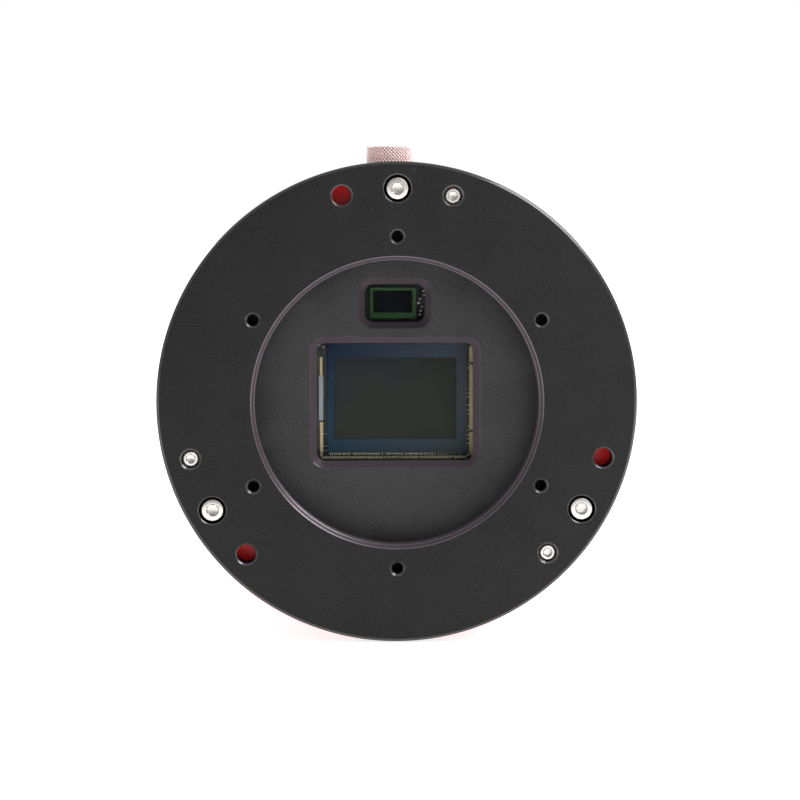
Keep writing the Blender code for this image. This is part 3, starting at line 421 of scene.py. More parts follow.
def remap(tree, value, low, high, out_low, out_high):
    made = add_node(
        tree,
        "ShaderNodeMapRange",
        {"Value": value, "From Min": low, "From Max": high, "To Min": out_low, "To Max": out_high},
    )
    return made.outputs["Result"]


def shade(colour, factor):
    return tuple(min(1.0, c * factor) for c in colour)


def link_surface(tree, shader, tone, roughness, height, strength, distance):
    """Gives a shader its colour, its roughness and a bump from a height."""
    lift = add_node(tree, "ShaderNodeBump", {"Height": height, "Strength": strength, "Distance": distance})
    for name, value in (("Base Color", tone), ("Roughness", roughness), ("Normal", lift.outputs["Normal"])):
        tree.links.new(value, shader.inputs[name])


PATCH_SHARE = 0.3  # how much of a finish's colour spread goes into its slow patches


def finish(
    name, colour, roughness, metallic=0.0, grain=0.3, bump=0.2, spread=0.12, rough_spread=0.08,
    patch=9.0, stretch=(1.0, 1.0, 1.0), specks=0.0, speck_colour=(0.5, 0.5, 0.5), coat=0.0, level=0.5,
):
    """A surface with fine grain, slow patches of colour and sheen, and a few specks of dust or wear."""
    material, tree, shader = tree_of(name)
    fine = noise(tree, grain, 2.0, stretch)
    slow = noise(tree, patch, 3.0)
    drift = PATCH_SHARE * spread
    clouded = remap(tree, slow, 0.3, 0.7, 0.0, 1.0)
    tone = blend(tree, clouded, shade(colour, 1.0 - drift), shade(colour, 1.0 + drift))
    grained = remap(tree, fine, 0.25, 0.75, 0.0, 1.0)
    grainy = blend(tree, grained, shade(colour, 1.0 - spread), shade(colour, 1.0 + spread))
    tone = blend(tree, 0.5, tone, grainy)
    if specks:
        cells = add_node(
            tree,
            "ShaderNodeTexVoronoi",
            {"Vector": place_of(tree, 2.4), "Scale": 1.0, "Randomness": 1.0},
        )
        spot = remap(tree, cells.outputs["Distance"], 0.045, 0.02, 0.0, specks)
        tone = blend(tree, spot, tone, speck_colour)
    mixed = add_node(tree, "ShaderNodeMath", {0: fine, 1: slow}, operation="ADD").outputs[0]
    sheen = remap(tree, mixed, 0.6, 1.4, roughness - rough_spread, roughness + rough_spread)
    link_surface(tree, shader, tone, sheen, fine, bump, grain * MM * 0.4)
    shader.inputs["Metallic"].default_value = metallic
    shader.inputs["Specular IOR Level"].default_value = level
    if coat:
        shader.inputs["Coat Weight"].default_value = coat
        shader.inputs["Coat Roughness"].default_value = 0.15
    return material


def glass(name, tint, reflect_ior):
    """Clear coated glass: light passes straight through and a thin film mirrors a little."""
    material, tree, shader = tree_of(name)
    tree.nodes.remove(shader)
    clear = add_node(tree, "ShaderNodeBsdfTransparent", {"Color": (*tint, 1.0)})
    smear = remap(tree, noise(tree, 6.0, 3.0), 0.3, 0.7, 0.02, 0.06)
    shine = add_node(
        tree, "ShaderNodeBsdfGlossy", {"Color": (0.85, 0.78, 1.0, 1.0), "Roughness": smear}
    )
    film = add_node(tree, "ShaderNodeFresnel", {"IOR": reflect_ior})
    mixed = add_node(
        tree,
        "ShaderNodeMixShader",
        {0: film.outputs[0], 1: clear.outputs[0], 2: shine.outputs[0]},
    )
    tree.links.new(mixed.outputs[0], tree.nodes["Material Output"].inputs["Surface"])
    return material


def axis_share(tree, axis, low, high):
    """A share from 0 to 1 along an axis of the optical frame, between two places in millimetres."""
    where = add_node(tree, "ShaderNodeTexCoord")
    parts = add_node(tree, "ShaderNodeSeparateXYZ", {"Vector": where.outputs["Object"]})
    return remap(tree, parts.outputs["X" if axis == "x" else "Z"], low * MM, high * MM, 0.0, 1.0)


def silicon_with_painted_reflection(name, corners, roughness, centre, reach, lines=0.0):
    """Coated silicon with a colour for each corner (low left, low right, high left, high right); the shift
    from corner to corner is painted reflection of the die's diffraction colours.
    """
    material, tree, shader = tree_of(name)
    across = axis_share(tree, "x", centre[0] - reach[0], centre[0] + reach[0])
    upwards = axis_share(tree, "y", centre[1] - reach[1], centre[1] + reach[1])
    low = blend(tree, across, corners[0], corners[1])
    high = blend(tree, across, corners[2], corners[3])
    tone = blend(tree, upwards, low, high)
    cloud = remap(tree, noise(tree, 5.0, 2.0), 0.3, 0.7, 0.0, 0.35)
    tone = blend(tree, cloud, tone, shade(corners[0], 1.25))
    if lines:
        comb = add_node(
            tree,
            "ShaderNodeTexWave",
            {"Vector": place_of(tree, 0.42), "Scale": 0.5, "Distortion": 0.0},
            bands_direction="X",
        )
        tone = blend(
            tree, remap(tree, comb.outputs["Fac"], 0.0, 1.0, 0.0, lines), tone, shade(corners[3], 1.3)
        )
    fine = noise(tree, 2.0, 1.0)
    sheen = remap(tree, fine, 0.3, 0.7, roughness - 0.03, roughness + 0.03)
    link_surface(tree, shader, tone, sheen, fine, 0.02, 0.00001)
    shader.inputs["Specular IOR Level"].default_value = 0.06
    return material


def circuit_material(name, mask, copper):
    """Solder mask with faint traces under it and a fine grain."""
    material, tree, shader = tree_of(name)
    traces = add_node(
        tree,
        "ShaderNodeTexBrick",
        {
            "Vector": place_of(tree, 1.0, (1.0, 0.05, 1.0)),
            "Color1": (*mask, 1.0),
            "Color2": (*shade(mask, 1.35), 1.0),
            "Mortar": (*copper, 1.0),
            "Scale": 0.35,
            "Mortar Size": 0.03,
            "Brick Width": 1.7,
            "Row Height": 0.4,
        },
    )
    fine = noise(tree, 0.25, 2.0)
    tone = blend(tree, remap(tree, fine, 0.3, 0.7, 0.0, 0.4), traces.outputs["Color"], shade(mask, 0.7))
    sheen = remap(tree, fine, 0.3, 0.7, 0.28, 0.42)
    link_surface(tree, shader, tone, sheen, traces.outputs["Fac"], 0.25, 0.00004)
    return material


def scuffed(material, at, radius, colour):
    """Adds one small pale scuff to a finish, at a place on the front face."""
    tree = material.node_tree
    shader = tree.nodes["Principled BSDF"]
    before = shader.inputs["Base Color"].links[0].from_socket
    where = add_node(tree, "ShaderNodeTexCoord")
    middle = (at[0] * MM, 0.0, at[1] * MM)
    away = add_node(
        tree,
        "ShaderNodeVectorMath",
        {0: where.outputs["Object"], 1: middle},
        operation="DISTANCE",
    )
    near = remap(tree, away.outputs["Value"], radius * MM, radius * 0.3 * MM, 0.0, 1.0)
    ragged = remap(tree, noise(tree, 0.35, 3.0), 0.45, 0.65, 0.0, 0.7)
    share = add_node(tree, "ShaderNodeMath", {0: near, 1: ragged}, operation="MULTIPLY").outputs[0]
    tree.links.new(blend(tree, share, before, colour), shader.inputs["Base Color"])
    return material


# After its colour, a finish gives its roughness, metallic, grain, bump, spread and rough_spread.
PLATE_BLACK = scuffed(
    finish(
        "plate_black", (0.0118, 0.0113, 0.0112), 0.5, grain=0.4, bump=1.0, spread=0.85, specks=0.4,
        speck_colour=(0.06, 0.06, 0.06), level=0.15,
    ),
    (3.0, 43.3),
    0.6,
    (0.07, 0.07, 0.07),
)
BORE_PURPLE = finish(
    "machined_edge", (0.034, 0.022, 0.029), 0.5, 0.2, grain=0.25, bump=0.1, spread=0.08, patch=14.0
)
BRIGHT_RIM = finish("machined_rim", (0.055, 0.055, 0.055), 0.24, 0.8, grain=0.2, bump=0.05, spread=0.15)
# Painted highlight: pale metal for both edges of the opening's chamfer, standing in for light catching
# those edges.
PAINTED_HIGHLIGHT_LINE = finish("painted_highlight_line", (0.13, 0.112, 0.124), 0.32, 0.75, grain=0.2, bump=0.1, spread=0.2)
# Painted highlight: pale metal on the sloped edges of the plate's holes and the lid's window mouths.
PAINTED_HIGHLIGHT_EDGE = finish("painted_highlight_edge", (0.1, 0.098, 0.1), 0.28, 0.8, grain=0.2, bump=0.1, spread=0.2)
LID_GREY = finish(
    "lid_grey", (0.031, 0.031, 0.0315), 0.6, grain=0.36, bump=1.0, spread=0.8, specks=0.45,
    speck_colour=(0.09, 0.09, 0.09), level=0.15,
)
BODY_RED = finish("body_red", (0.36, 0.004, 0.006), 0.38, 0.3, 0.3, 0.2, 0.06, 0.05, level=0.2)
# Painted light: a brighter copy of the body red for the housing's front face, which shows down the tilt
# plate's holes.
FACE_RED_PAINTED_LIGHT = finish("front_face_red_painted_light", (1.0, 0.01, 0.014), 0.35, grain=0.3, spread=0.05, level=0.3)
STEEL = finish("steel", (0.6, 0.57, 0.54), 0.3, 1.0, 0.2, 0.2, 0.1, 0.1)
KNURLED = finish("knurled_steel", (0.97, 0.96, 0.955), 0.3, 0.35, 0.15, 0.1, 0.03, 0.06)
# Painted shade: a darker, pinker copy of the cap's colour for the floors of the knurl's grooves.
KNURL_GROOVE_PAINTED_SHADE = finish("knurl_groove_painted_shade", (0.66, 0.5, 0.46), 0.4, 0.3, grain=0.15, spread=0.15)
SEAL = finish("seal_rubber", (0.014, 0.014, 0.014), 0.75, 0.0, 0.2, 0.4)
GLASS = glass("window_glass", (0.96, 0.975, 0.97), 1.07)
SENSOR_CERAMIC = finish("sensor_ceramic", (0.016, 0.014, 0.012), 0.45, 0.0, 0.2, 0.3, 0.3)
GOLD = finish("pad_gold", (0.42, 0.34, 0.2), 0.34, 1.0, grain=0.35, bump=0.3, spread=0.3)
# Bright gold of the bond wires, which the bottom row of pads also wears as painted light.
GOLD_WIRE_AND_PAD_PAINTED_LIGHT = finish("wire_gold_and_pad_painted_light", (0.9, 0.8, 0.55), 0.3, 1.0, grain=0.35, bump=0.1, spread=0.3)
SIDE_BAR = finish("side_bar", (0.25, 0.26, 0.28), 0.35, 0.9, grain=0.8, bump=0.2, spread=0.15)
PLATED_GOLD = finish("gold", (0.83, 0.6, 0.27), 0.25, 1.0, 0.2, 0.1, 0.08)
GREEN_SUBSTRATE = finish(
    "green_substrate", (0.022, 0.085, 0.018), 0.4, grain=0.25, spread=0.25, level=0.2
)
GUIDE_SILICON = finish(
    "guide_silicon", (0.002, 0.0035, 0.0045), 0.25, grain=2.5, bump=0.02, spread=0.3, level=0.02
)
BOARD = circuit_material("board", (0.006, 0.05, 0.02), (0.06, 0.13, 0.03))
COPPER = finish("copper", (0.7, 0.34, 0.2), 0.35, 1.0, 0.4, 0.3, 0.15)
CERAMIC_WHITE = finish("cooler_ceramic", (0.78, 0.78, 0.75), 0.45, 0.0, 0.3, 0.2, 0.05)
FOAM = finish("foam", (0.03, 0.03, 0.03), 0.9, 0.0, 0.8, 0.9, 0.3)
DESICCANT = finish("desiccant", (0.72, 0.68, 0.58), 0.85, 0.0, 0.6, 0.7, 0.15)
COVER_BLACK = finish(
    "cover_black", (0.02, 0.02, 0.021), 0.42, 0.0, 0.35, 0.35, 0.2, 0.07, specks=0.12,
    speck_colour=(0.1, 0.1, 0.1),
)
ALUMINIUM = finish(
    "bare_aluminium", (0.62, 0.62, 0.64), 0.32, 1.0, 0.5, 0.35, 0.1, 0.1, stretch=(1.0, 1.0, 0.08)
)
FLEX = finish("flex", (0.42, 0.18, 0.03), 0.4, 0.0, 0.5, 0.2, 0.15)
JACKET = finish("lead_jacket", (0.02, 0.02, 0.02), 0.6, 0.0, 0.4, 0.2, 0.2)
FAN_PLASTIC = finish("fan_plastic", (0.016, 0.016, 0.016), 0.5, 0.0, 0.5, 0.4, 0.15)
PORT_PLASTIC = finish("port_plastic", (0.013, 0.013, 0.014), 0.38, 0.0, 0.4, 0.2, 0.15)
PORT_SHELL = finish("port_shell", (0.62, 0.62, 0.62), 0.28, 1.0, 0.4, 0.15, 0.08)
LIGHT_PIPE = finish("light_pipe", (0.45, 0.72, 0.5), 0.18, 0.0, 0.6, 0.05, 0.08, coat=0.6)
BUTTON_PLASTIC = finish("button_plastic", (0.7, 0.7, 0.68), 0.45, 0.0, 0.4, 0.25, 0.05)
CHIP = finish("chip_black", (0.01, 0.01, 0.011), 0.55, 0.0, 0.2, 0.3, 0.2)
SOLDER = finish("solder", (0.6, 0.61, 0.63), 0.35, 1.0, 0.3, 0.4, 0.15)
COIL_RED = finish("coil_red", (0.3, 0.07, 0.05), 0.45, 0.2, 0.2, 0.3, 0.4)

WELL_FLOOR = -13.5  # the sensor package's well, under the die
WELL_LEDGE = -12.95  # the step round the well, which carries the pads
PAD_LEVEL = WELL_LEDGE + 0.03
DIE_TOP = -12.48
DIE_CENTRE = (0.35, -0.05)
DIE_REACH = (13.5, 10.55)
ACTIVE_CENTRE = (0.03, 0.0)
# Both die materials blend their corner colours across the die: painted reflection.
DIE_BORDER = silicon_with_painted_reflection(
    "die_border",
    ((0.015, 0.043, 0.07), (0.05, 0.053, 0.056), (0.004, 0.008, 0.03), (0.044, 0.047, 0.054)),
    0.3,
    DIE_CENTRE,
    DIE_REACH,
)
DIE_ACTIVE = silicon_with_painted_reflection(
    "die_active",
    ((0.025, 0.025, 0.017), (0.023, 0.024, 0.015), (0.009, 0.015, 0.025), (0.013, 0.013, 0.011)),
    0.35,
    DIE_CENTRE,
    DIE_REACH,
    lines=0.12,
)


# ---------------------------------------------------------------- tilt plate and its screws


NEARLY_FLAT = 0.99  # the normal's z, above which a face belongs to a flat front


def from_axis(point):
    return math.hypot(point.x, point.y)


def paint_band(item, material, radii, deepest, slopes):
    """A second material on faces within a range of radii and of the normal's z, down to a depth."""

    def chosen(centre, normal):
        near = radii[0] < from_axis(centre) < radii[1]
        return near and centre.z > deepest and slopes[0] < normal.z < slopes[1]

    second_material(item, material, chosen)


def make_tilt_plate():
    """Ring with a threaded, chamfered opening, six tapped holes and three groups of three holes."""
    back = PLATE_LOW.z
    rim = 0.5
    chamfer = 0.75
    chamfer_edge = OPENING_RADIUS + chamfer
    line = 0.15  # width of the painted highlight lines at the chamfer's two edges
    profile = [
        (PLATE_RADIUS - rim - 0.05, 0.0), (PLATE_RADIUS - rim, -0.02),
        (PLATE_RADIUS - 0.04, -rim + 0.02), (PLATE_RADIUS, -rim - 0.06), (PLATE_RADIUS, back + 0.32),
        (PLATE_RADIUS - 0.3, back), (OPENING_RADIUS + 0.4, back),
        *reversed(thread(OPENING_RADIUS, OPENING_RADIUS + 0.34, -chamfer, back + 0.3, 0.75)),
        (OPENING_RADIUS, -chamfer), (OPENING_RADIUS + line, line - chamfer),
        (chamfer_edge - line, -line), (chamfer_edge + 0.03, 0.0),
    ]
    plate = new_object("tilt_plate_fine", [lathe(profile, FINE, closed=True)])
    low, high = back - EXTRA, EXTRA
    shoulder = -3.4
    tapped = [(0.0, low), *thread(1.08, 1.26, low, -0.25, 0.45), (1.1, -0.36), (1.45 + high, high)]
    set_hole = [(0.0, low), *thread(1.66, 1.84, low, -0.3, 0.5), (1.72, -0.34), (2.06 + high, high)]
    counterbore = [(1.55, low), (1.55, shoulder), (2.5, shoulder), (2.55, shoulder + 0.05)]
    counterbore += [(2.55, -0.2), (2.75 + high, high)]
    sight_hole = [(1.8, low), (1.8, -0.3), (2.1 + high, high)]
    holes = [lathe(tapped, SMALL, polar(TAPPED_CIRCLE, 30.0 + 60.0 * n)) for n in range(6)]
    for hole, turn in ((counterbore, 0.0), (set_hole, PUSH_TURN), (sight_hole, SIGHT_TURN)):
        holes += [lathe(hole, SMALL, polar(SCREW_CIRCLE, a + turn)) for a in PULL_ANGLES]
    cut(plate, *holes)
    wear(plate, PLATE_BLACK, ["tilt_plate"], "tilt_plate")
    sloped = (0.3, NEARLY_FLAT)
    paint_band(plate, BORE_PURPLE, (-1.0, OPENING_RADIUS + 1.0), back + 0.01, (-2.0, NEARLY_FLAT))
    # Painted highlight lines all round both edges of the opening's chamfer.
    second_material(
        plate,
        PAINTED_HIGHLIGHT_LINE,
        lambda centre, normal: OPENING_RADIUS - 0.02 < from_axis(centre) < OPENING_RADIUS + 1.0
        and sloped[0] < normal.z < sloped[1]
        and (centre.z > -line or 0.04 - chamfer < centre.z < line - chamfer),
    )
    rim_inside = PLATE_RADIUS - rim - 0.04
    paint_band(plate, BRIGHT_RIM, (rim_inside, 2 * PLATE_RADIUS), -rim - 0.08, (-2.0, NEARLY_FLAT))
    # Painted highlight on the sloped chamfers of the plate's holes.
    paint_band(plate, PAINTED_HIGHLIGHT_EDGE, (OPENING_RADIUS + 1.2, PLATE_RADIUS - 0.7), -0.6, (0.3, 0.95))


def make_adjusting_screw(node, profile, across_flats, depth, at):
    """A turned screw with a hexagonal socket, a chamfered mouth and a drilled cone at its foot."""
    screw = new_object(f"{node}_fine", [lathe(profile, SMALL, at)])
    radius = across_flats / math.sqrt(3.0)
    top = profile[0][1]
    floor = top - depth
    cut(screw, hexagon(across_flats, floor, top + EXTRA, at))
    cut(screw, lathe([(radius - 0.17, top - 0.22), (radius + 0.05 + 0.5, top + 0.5)], SMALL, at))
    cut(screw, lathe([(0.0, floor - 0.35), (across_flats / 2 - 0.05, floor + 0.02)], SMALL, at))
    wear(screw, STEEL, [node], node)


def make_pull_screw(number, at):
    node = f"pull_screw_{number}"
    low, high = span(node)
    top, head, shank, shoulder = high.z, 2.1, 1.25, -3.0
    profile = [
        (head - 0.32, top), (head - 0.14, top - 0.06), (head - 0.03, top - 0.2), (head, top - 0.38),
        (head, shoulder + 0.1), (head - 0.1, shoulder), (shank, shoulder), (shank, -5.4),
        *thread(shank, 1.04, -5.6, low.z + 0.3, 0.45), (0.8, low.z),
    ]
    make_adjusting_screw(node, profile, 2.0, 1.35, at)


def make_push_screw(number, at):
    node = f"push_screw_{number}"
    low, high = span(node)
    top, radius = high.z, 1.5
    profile = [
        (radius - 0.3, top), (radius - 0.12, top - 0.12),
        *thread(radius, radius - 0.2, top - 0.3, low.z + 0.6, 0.5), (radius - 0.6, low.z),
    ]
    make_adjusting_screw(node, profile, 1.5, 1.3, at)


# ---------------------------------------------------------------- sensor chamber


def make_front_housing():
    """Red block with the chamber's ledge, a shadow groove near its back and the drying port's mouth."""
    front, back = HOUSING_HIGH.z, HOUSING_LOW.z
    ledge = LID_LOW.z - 0.3
    chamber_radius, chamber_floor, web_back = 28.0, -24.0, -27.2
    ledge_radius = 34.8
    profile = [
        (chamber_radius, chamber_floor), (chamber_radius, ledge), (ledge_radius, ledge),
        (ledge_radius, front - 0.15), (ledge_radius + 0.15, front), (BODY_RADIUS - 0.5, front),
        (BODY_RADIUS - 0.15, front - 0.12), (BODY_RADIUS, front - 0.5), (BODY_RADIUS, back + 0.35),
        (BODY_RADIUS - 0.3, back), (BODY_INSIDE, back), (BODY_INSIDE, web_back),
    ]
    housing = new_object("front_housing_fine", [lathe(profile, FINE)])
    boss_places = [polar(BOSS_CIRCLE, a) for a in FRONT_BOSS_ANGLES]
    cut(
        housing,
        slab((32.0, 32.0, 6.0), (0.0, 0.0, -25.5), 1.0),
        *[rod(1.75, -13.4, front + EXTRA, polar(SCREW_CIRCLE, a), 32) for a in PULL_ANGLES],
        *[rod(1.3, -14.0, ledge + EXTRA, p, 32) for p in lid_screw_places()],
        *[rod(SCREW_HOLE, back - EXTRA, front + EXTRA, p, 32) for p in boss_places],
    )
    dry_mouth = [(5.8, 40.6), (5.8, 43.3), (6.4, 46.0)]
    cut(
        housing,
        *[rod(HEAD_HOLE, -8.6, front + EXTRA, p, 32) for p in boss_places],
        lathe(dry_mouth, 64, (0.0, DRY_STATION), "X"),
    )
    wear(housing, BODY_RED, ["front_housing"])
    # Painted light: the front face wears the brighter copy of the body red.
    second_material(housing, FACE_RED_PAINTED_LIGHT, lambda centre, normal: normal.z > 0.9 and centre.z > front - 0.1)


def lid_screw_places():
    return [polar(LID_SCREW_CIRCLE, 15.0 + 60.0 * n) for n in range(6)]


def window_opening(centre, mouth, clear, glass_size, corners):
    """A window's opening: sloped mouth, straight neck and the rebate for its glass."""
    front, back = LID_HIGH.z, LID_LOW.z - EXTRA
    edge = 0.14
    grow = 2 * (edge + EXTRA)
    neck_end = front - 1.6
    rebate = (glass_size[0] + 0.6, glass_size[1] + 0.6, 0.6)
    levels = [
        (front + EXTRA, mouth[0] + grow, mouth[1] + grow, corners[0] + edge + EXTRA),
        (front - edge, *mouth, corners[0]), (front - 1.2, *clear, corners[1]),
        (neck_end, *clear, corners[1]), (neck_end, *rebate), (back, *rebate),
    ]
    return stack(levels, centre, 10)


def make_chamber_lid():
    """Bead blasted lid with two windows and holes for six screws that the tilt plate hides."""
    front, back = LID_HIGH.z, LID_LOW.z
    radius = LID_HIGH.x
    profile = [
        (radius - 0.3, front), (radius - 0.08, front - 0.08), (radius, front - 0.3), (radius, back),
    ]
    lid = new_object("chamber_lid_fine", [lathe(profile, FINE)])
    shoulder = -7.0
    hole = [
        (1.3, back - EXTRA), (1.3, shoulder), (2.05, shoulder), (2.05, front - 0.15), (2.2, front),
        (2.2, front + EXTRA),
    ]
    cut(
        lid,
        window_opening(MAIN_WINDOW, (32.0, 24.8), (29.6, 22.3), (31.4, 24.0), (2.9, 1.5)),
        window_opening(GUIDE_WINDOW, (13.5, 9.3), (11.4, 7.2), (13.0, 8.8), (2.5, 1.7)),
        *[lathe(hole, SMALL, p) for p in lid_screw_places()],
    )
    wear(lid, LID_GREY, ["chamber_lid"])

    def sloped(centre, normal):
        inside_main = abs(centre.x - MAIN_WINDOW[0]) < 16.2 and abs(centre.y - MAIN_WINDOW[1]) < 12.6
        inside_guide = abs(centre.x - GUIDE_WINDOW[0]) < 6.95 and abs(centre.y - GUIDE_WINDOW[1]) < 4.85
        return (inside_main or inside_guide) and normal.z < 0.9 and centre.z > front - 1.7

    def at_edge(centre, normal):
        return sloped(centre, normal) and centre.z > front - 0.15

    second_material(lid, BORE_PURPLE, sloped)
    # Painted highlight along the front edge of each window's mouth.
    second_material(lid, PAINTED_HIGHLIGHT_EDGE, at_edge)


def make_socket_screw(name, at, ends, head_height, socket, sign=1.0, sizes=(2.25, 1.25), replaces=()):
    """A fixed screw. ends are its head and tip, socket its flats and depth, sizes its head and shank.

    sign is +1 for a head towards the front.
    """
    top, tip = ends
    head_radius, shank = sizes
    across_flats, depth = socket
    head_base = top - head_height * sign
    profile = [
        (head_radius - 0.3, top), (head_radius - 0.08, top - 0.08 * sign),
        (head_radius, top - 0.3 * sign), (head_radius, head_base), (shank, head_base),
        *thread(shank, shank - 0.16, head_base - 0.2 * sign, tip + 0.4 * sign, 0.45),
        (shank - 0.4, tip),
    ]
    screw = new_object(name, [lathe(profile, 32, at)])
    low, high = sorted((top - depth * sign, top + EXTRA * sign))
    cut(screw, hexagon(across_flats, low, high, at))
    wear(screw, STEEL, replaces)


def make_hidden_screws():
    """Six lid screws, three heat sink screws and the three long housing screws."""
    for number, at in enumerate(lid_screw_places(), start=1):
        ends = (LID_HIGH.z - 0.15, -13.6)
        make_socket_screw(f"lid_screw_{number}", at, ends, 1.3, (1.5, 0.9), sizes=(1.75, 1.0))
    for number, angle in enumerate(PULL_ANGLES, start=1):
        at = polar(HEAT_SCREW_CIRCLE, angle)
        ends = (HOUSING_LOW.z - 2.2, -19.6)
        make_socket_screw(f"heat_sink_screw_{number}", at, ends, 2.0, (2.0, 1.2), -1.0)
    for number, angle in enumerate(FRONT_BOSS_ANGLES, start=1):
        node = f"housing_screw_{number}"
        low, high = span(node)
        at = polar(BOSS_CIRCLE, angle)
        make_socket_screw(f"{node}_fine", at, (high.z, low.z), 2.4, (2.0, 1.4), replaces=[node])


def make_windows():
    """Two flat panes with softened edges."""
    for node in ("main_window", "guide_window"):
        pane = new_object(f"{node}_fine", [node_slab(node, 0.5, 0.12)])
        wear(pane, GLASS, [node])


def make_main_sensor():
    """Ceramic package with a stepped well, and the imaging die with a line round its active area."""
    low, high = span("main_sensor_package")
    package = new_object("main_sensor_package_fine", [node_slab("main_sensor_package", 0.8, 0.15)])
    lower, upper = (28.6, 22.1, 0.4), (31.0, 24.0, 0.5)
    well = [(WELL_FLOOR, *lower), (WELL_LEDGE, *lower), (WELL_LEDGE, *upper), (high.z + 1, *upper)]
    cut(package, stack(well, (DIE_CENTRE[0] - 0.05, DIE_CENTRE[1]), 6))
    wear(package, SENSOR_CERAMIC, ["main_sensor_package"])

    low, high = span("main_sensor_die")
    place = Vector((*DIE_CENTRE, (low.z + high.z) / 2))
    die = new_object("main_sensor_die_fine", [slab(high - low, place, 0.15, 0.03)])
    wear(die, DIE_BORDER, ["main_sensor_die"])
    lip = slab((23.42, 15.62, 0.03), (*ACTIVE_CENTRE, high.z + 0.012), 0.1)
    trim("main_sensor_frame_line", [lip], GUIDE_SILICON)
    active = slab((23.3, 15.5, 0.05), (*ACTIVE_CENTRE, high.z + 0.03), 0.08)
    trim("main_sensor_active_area", [active], DIE_ACTIVE)


def pad_row(start, end, fixed, width, z, along, pitch=0.5, gap=0.07, skip=()):
    """A row of flat pads along x or y, apart from those whose number is skipped."""
    count = int((end - start) / pitch)
    shapes = []
    for n in range(count):
        if n in skip:
            continue
        middle = start + pitch * (n + 0.5)
        if along == "x":
            size, at = (pitch - gap, width, 0.06), (middle, fixed, z)
        else:
            size, at = (width, pitch - gap, 0.06), (fixed, middle, z)
        shapes.append(slab(size, at, 0.06))
    return shapes


def bond_wires(start, end, outer, inner, z_low, z_high, along, pitch, chance, chooser):
    """Arched wires from the pads to the die's edge."""
    count = int((end - start) / pitch)
    shapes = []
    for n in range(count):
        if chooser.random() > chance:
            continue
        place = start + pitch * (n + 0.5) + chooser.uniform(-0.08, 0.08)
        points = []
        for k in range(7):
            t = k / 6
            across = outer + (inner - outer) * t
            rise = z_low + (z_high - z_low) * t + 0.35 * math.sin(math.pi * t)
            points.append((place, across, rise) if along == "x" else (across, place, rise))
        shapes.append(tube(points, 0.035, 5))
    return shapes


def make_sensor_trim():
    """Gold pads on the package's ledge, bond wires and the small parts on the left side."""
    chooser = random.Random(7)
    ledge = PAD_LEVEL
    # Painted light: the bottom row of pads wears the brighter wire gold to lift it out of its shade.
    painted_light_bottom_pads = pad_row(-14.2, 14.0, -11.42, 0.5, ledge, "x", 0.52, 0.05)
    trim("sensor_bottom_pads", painted_light_bottom_pads, GOLD_WIRE_AND_PAD_PAINTED_LIGHT)
    pads = [
        *pad_row(-11.1, 10.3, 14.65, 0.8, ledge, "y", 0.5, 0.03, skip=(9, 35)),
        *pad_row(4.4, 7.9, -14.2, 0.5, ledge, "y", 0.5, 0.03),
        *pad_row(-11.1, -4.3, -14.15, 0.6, ledge, "y", 0.5, 0.03),
    ]
    trim("sensor_pads", pads, GOLD)
    wires = [
        *bond_wires(-12.6, 13.0, -11.5, -10.5, ledge, DIE_TOP, "x", 0.4, 0.85, chooser),
        *bond_wires(-9.8, 9.8, 14.55, 13.7, ledge, DIE_TOP, "y", 0.8, 0.5, chooser),
        *bond_wires(-10.4, -4.4, -14.1, -13.1, ledge, DIE_TOP, "y", 0.8, 0.5, chooser),
    ]
    trim("sensor_bond_wires", wires, GOLD_WIRE_AND_PAD_PAINTED_LIGHT)
    bar = slab((0.9, 8.6, 0.35), (-14.25, 0.05, -12.75), 0.12, 0.05)
    trim("sensor_side_bar", [bar], SIDE_BAR)
    dots = [
        rod(0.16, WELL_LEDGE, -12.7, (-14.4, 2.0), 16, 0.04),
        rod(0.15, WELL_LEDGE, -12.75, (-14.55, 10.2), 16, 0.04),
        rod(0.12, WELL_LEDGE, -12.75, (-13.75, 9.8), 16, 0.04),
        rod(0.22, WELL_LEDGE, -12.75, (14.0, -11.0), 16, 0.05),
        rod(0.16, WELL_LEDGE, -12.75, (-14.3, -11.05), 16, 0.04),
    ]
    trim("sensor_solder_dots", dots, SOLDER)
    chips = []
    for n in range(16):
        y = 9.0 - 0.62 * n
        size = (chooser.uniform(0.15, 0.3), chooser.uniform(0.25, 0.5), 0.3)
        x = -13.85 + chooser.uniform(-0.06, 0.06)
        chips.append(slab(size, (x, y, WELL_FLOOR + 0.17), 0.04))
    trim("sensor_side_parts", chips[:9], CHIP)
    trim("sensor_side_coils", chips[9:], COIL_RED)


def make_guide_sensor():
    """Green package whose die sits nearer its top, with small parts beside it on a black board."""
    low, high = span("guide_sensor_package")
    middle = (low + high) / 2
    top = high.z
    package = new_object("guide_sensor_package_fine", [node_slab("guide_sensor_package", 0.25, 0.06)])
    window = (middle.x - 0.12, middle.y + 0.25)
    mouth = (7.6, 4.4, 0.12)
    cut(package, stack([(top - 0.35, 7.45, 4.25, 0.1), (top + 0.05, *mouth), (top + 1, *mouth)], window, 4))
    wear(package, GREEN_SUBSTRATE, ["guide_sensor_package"])
    die = new_object("guide_sensor_die_fine", [slab((7.35, 4.15, 0.22), (*window, top - 0.22), 0.06, 0.02)])
    wear(die, GUIDE_SILICON, ["guide_sensor_die"])
    board = new_object("guide_board_fine", [node_slab("guide_board", 1.0, 0.05)])
    wear(board, CHIP, ["guide_board"])
    chooser = random.Random(3)
    low, high = span("guide_board")
    parts = []
    for n in range(7):
        at = (chooser.uniform(4.5, 5.6), 16.0 + 0.75 * n, high.z + 0.16)
        parts.append(slab((chooser.uniform(0.3, 0.5), 0.32, 0.3), at, 0.05, 0.03))
    trim("guide_board_parts", parts, SOLDER)


# ---------------------------------------------------------------- antenna


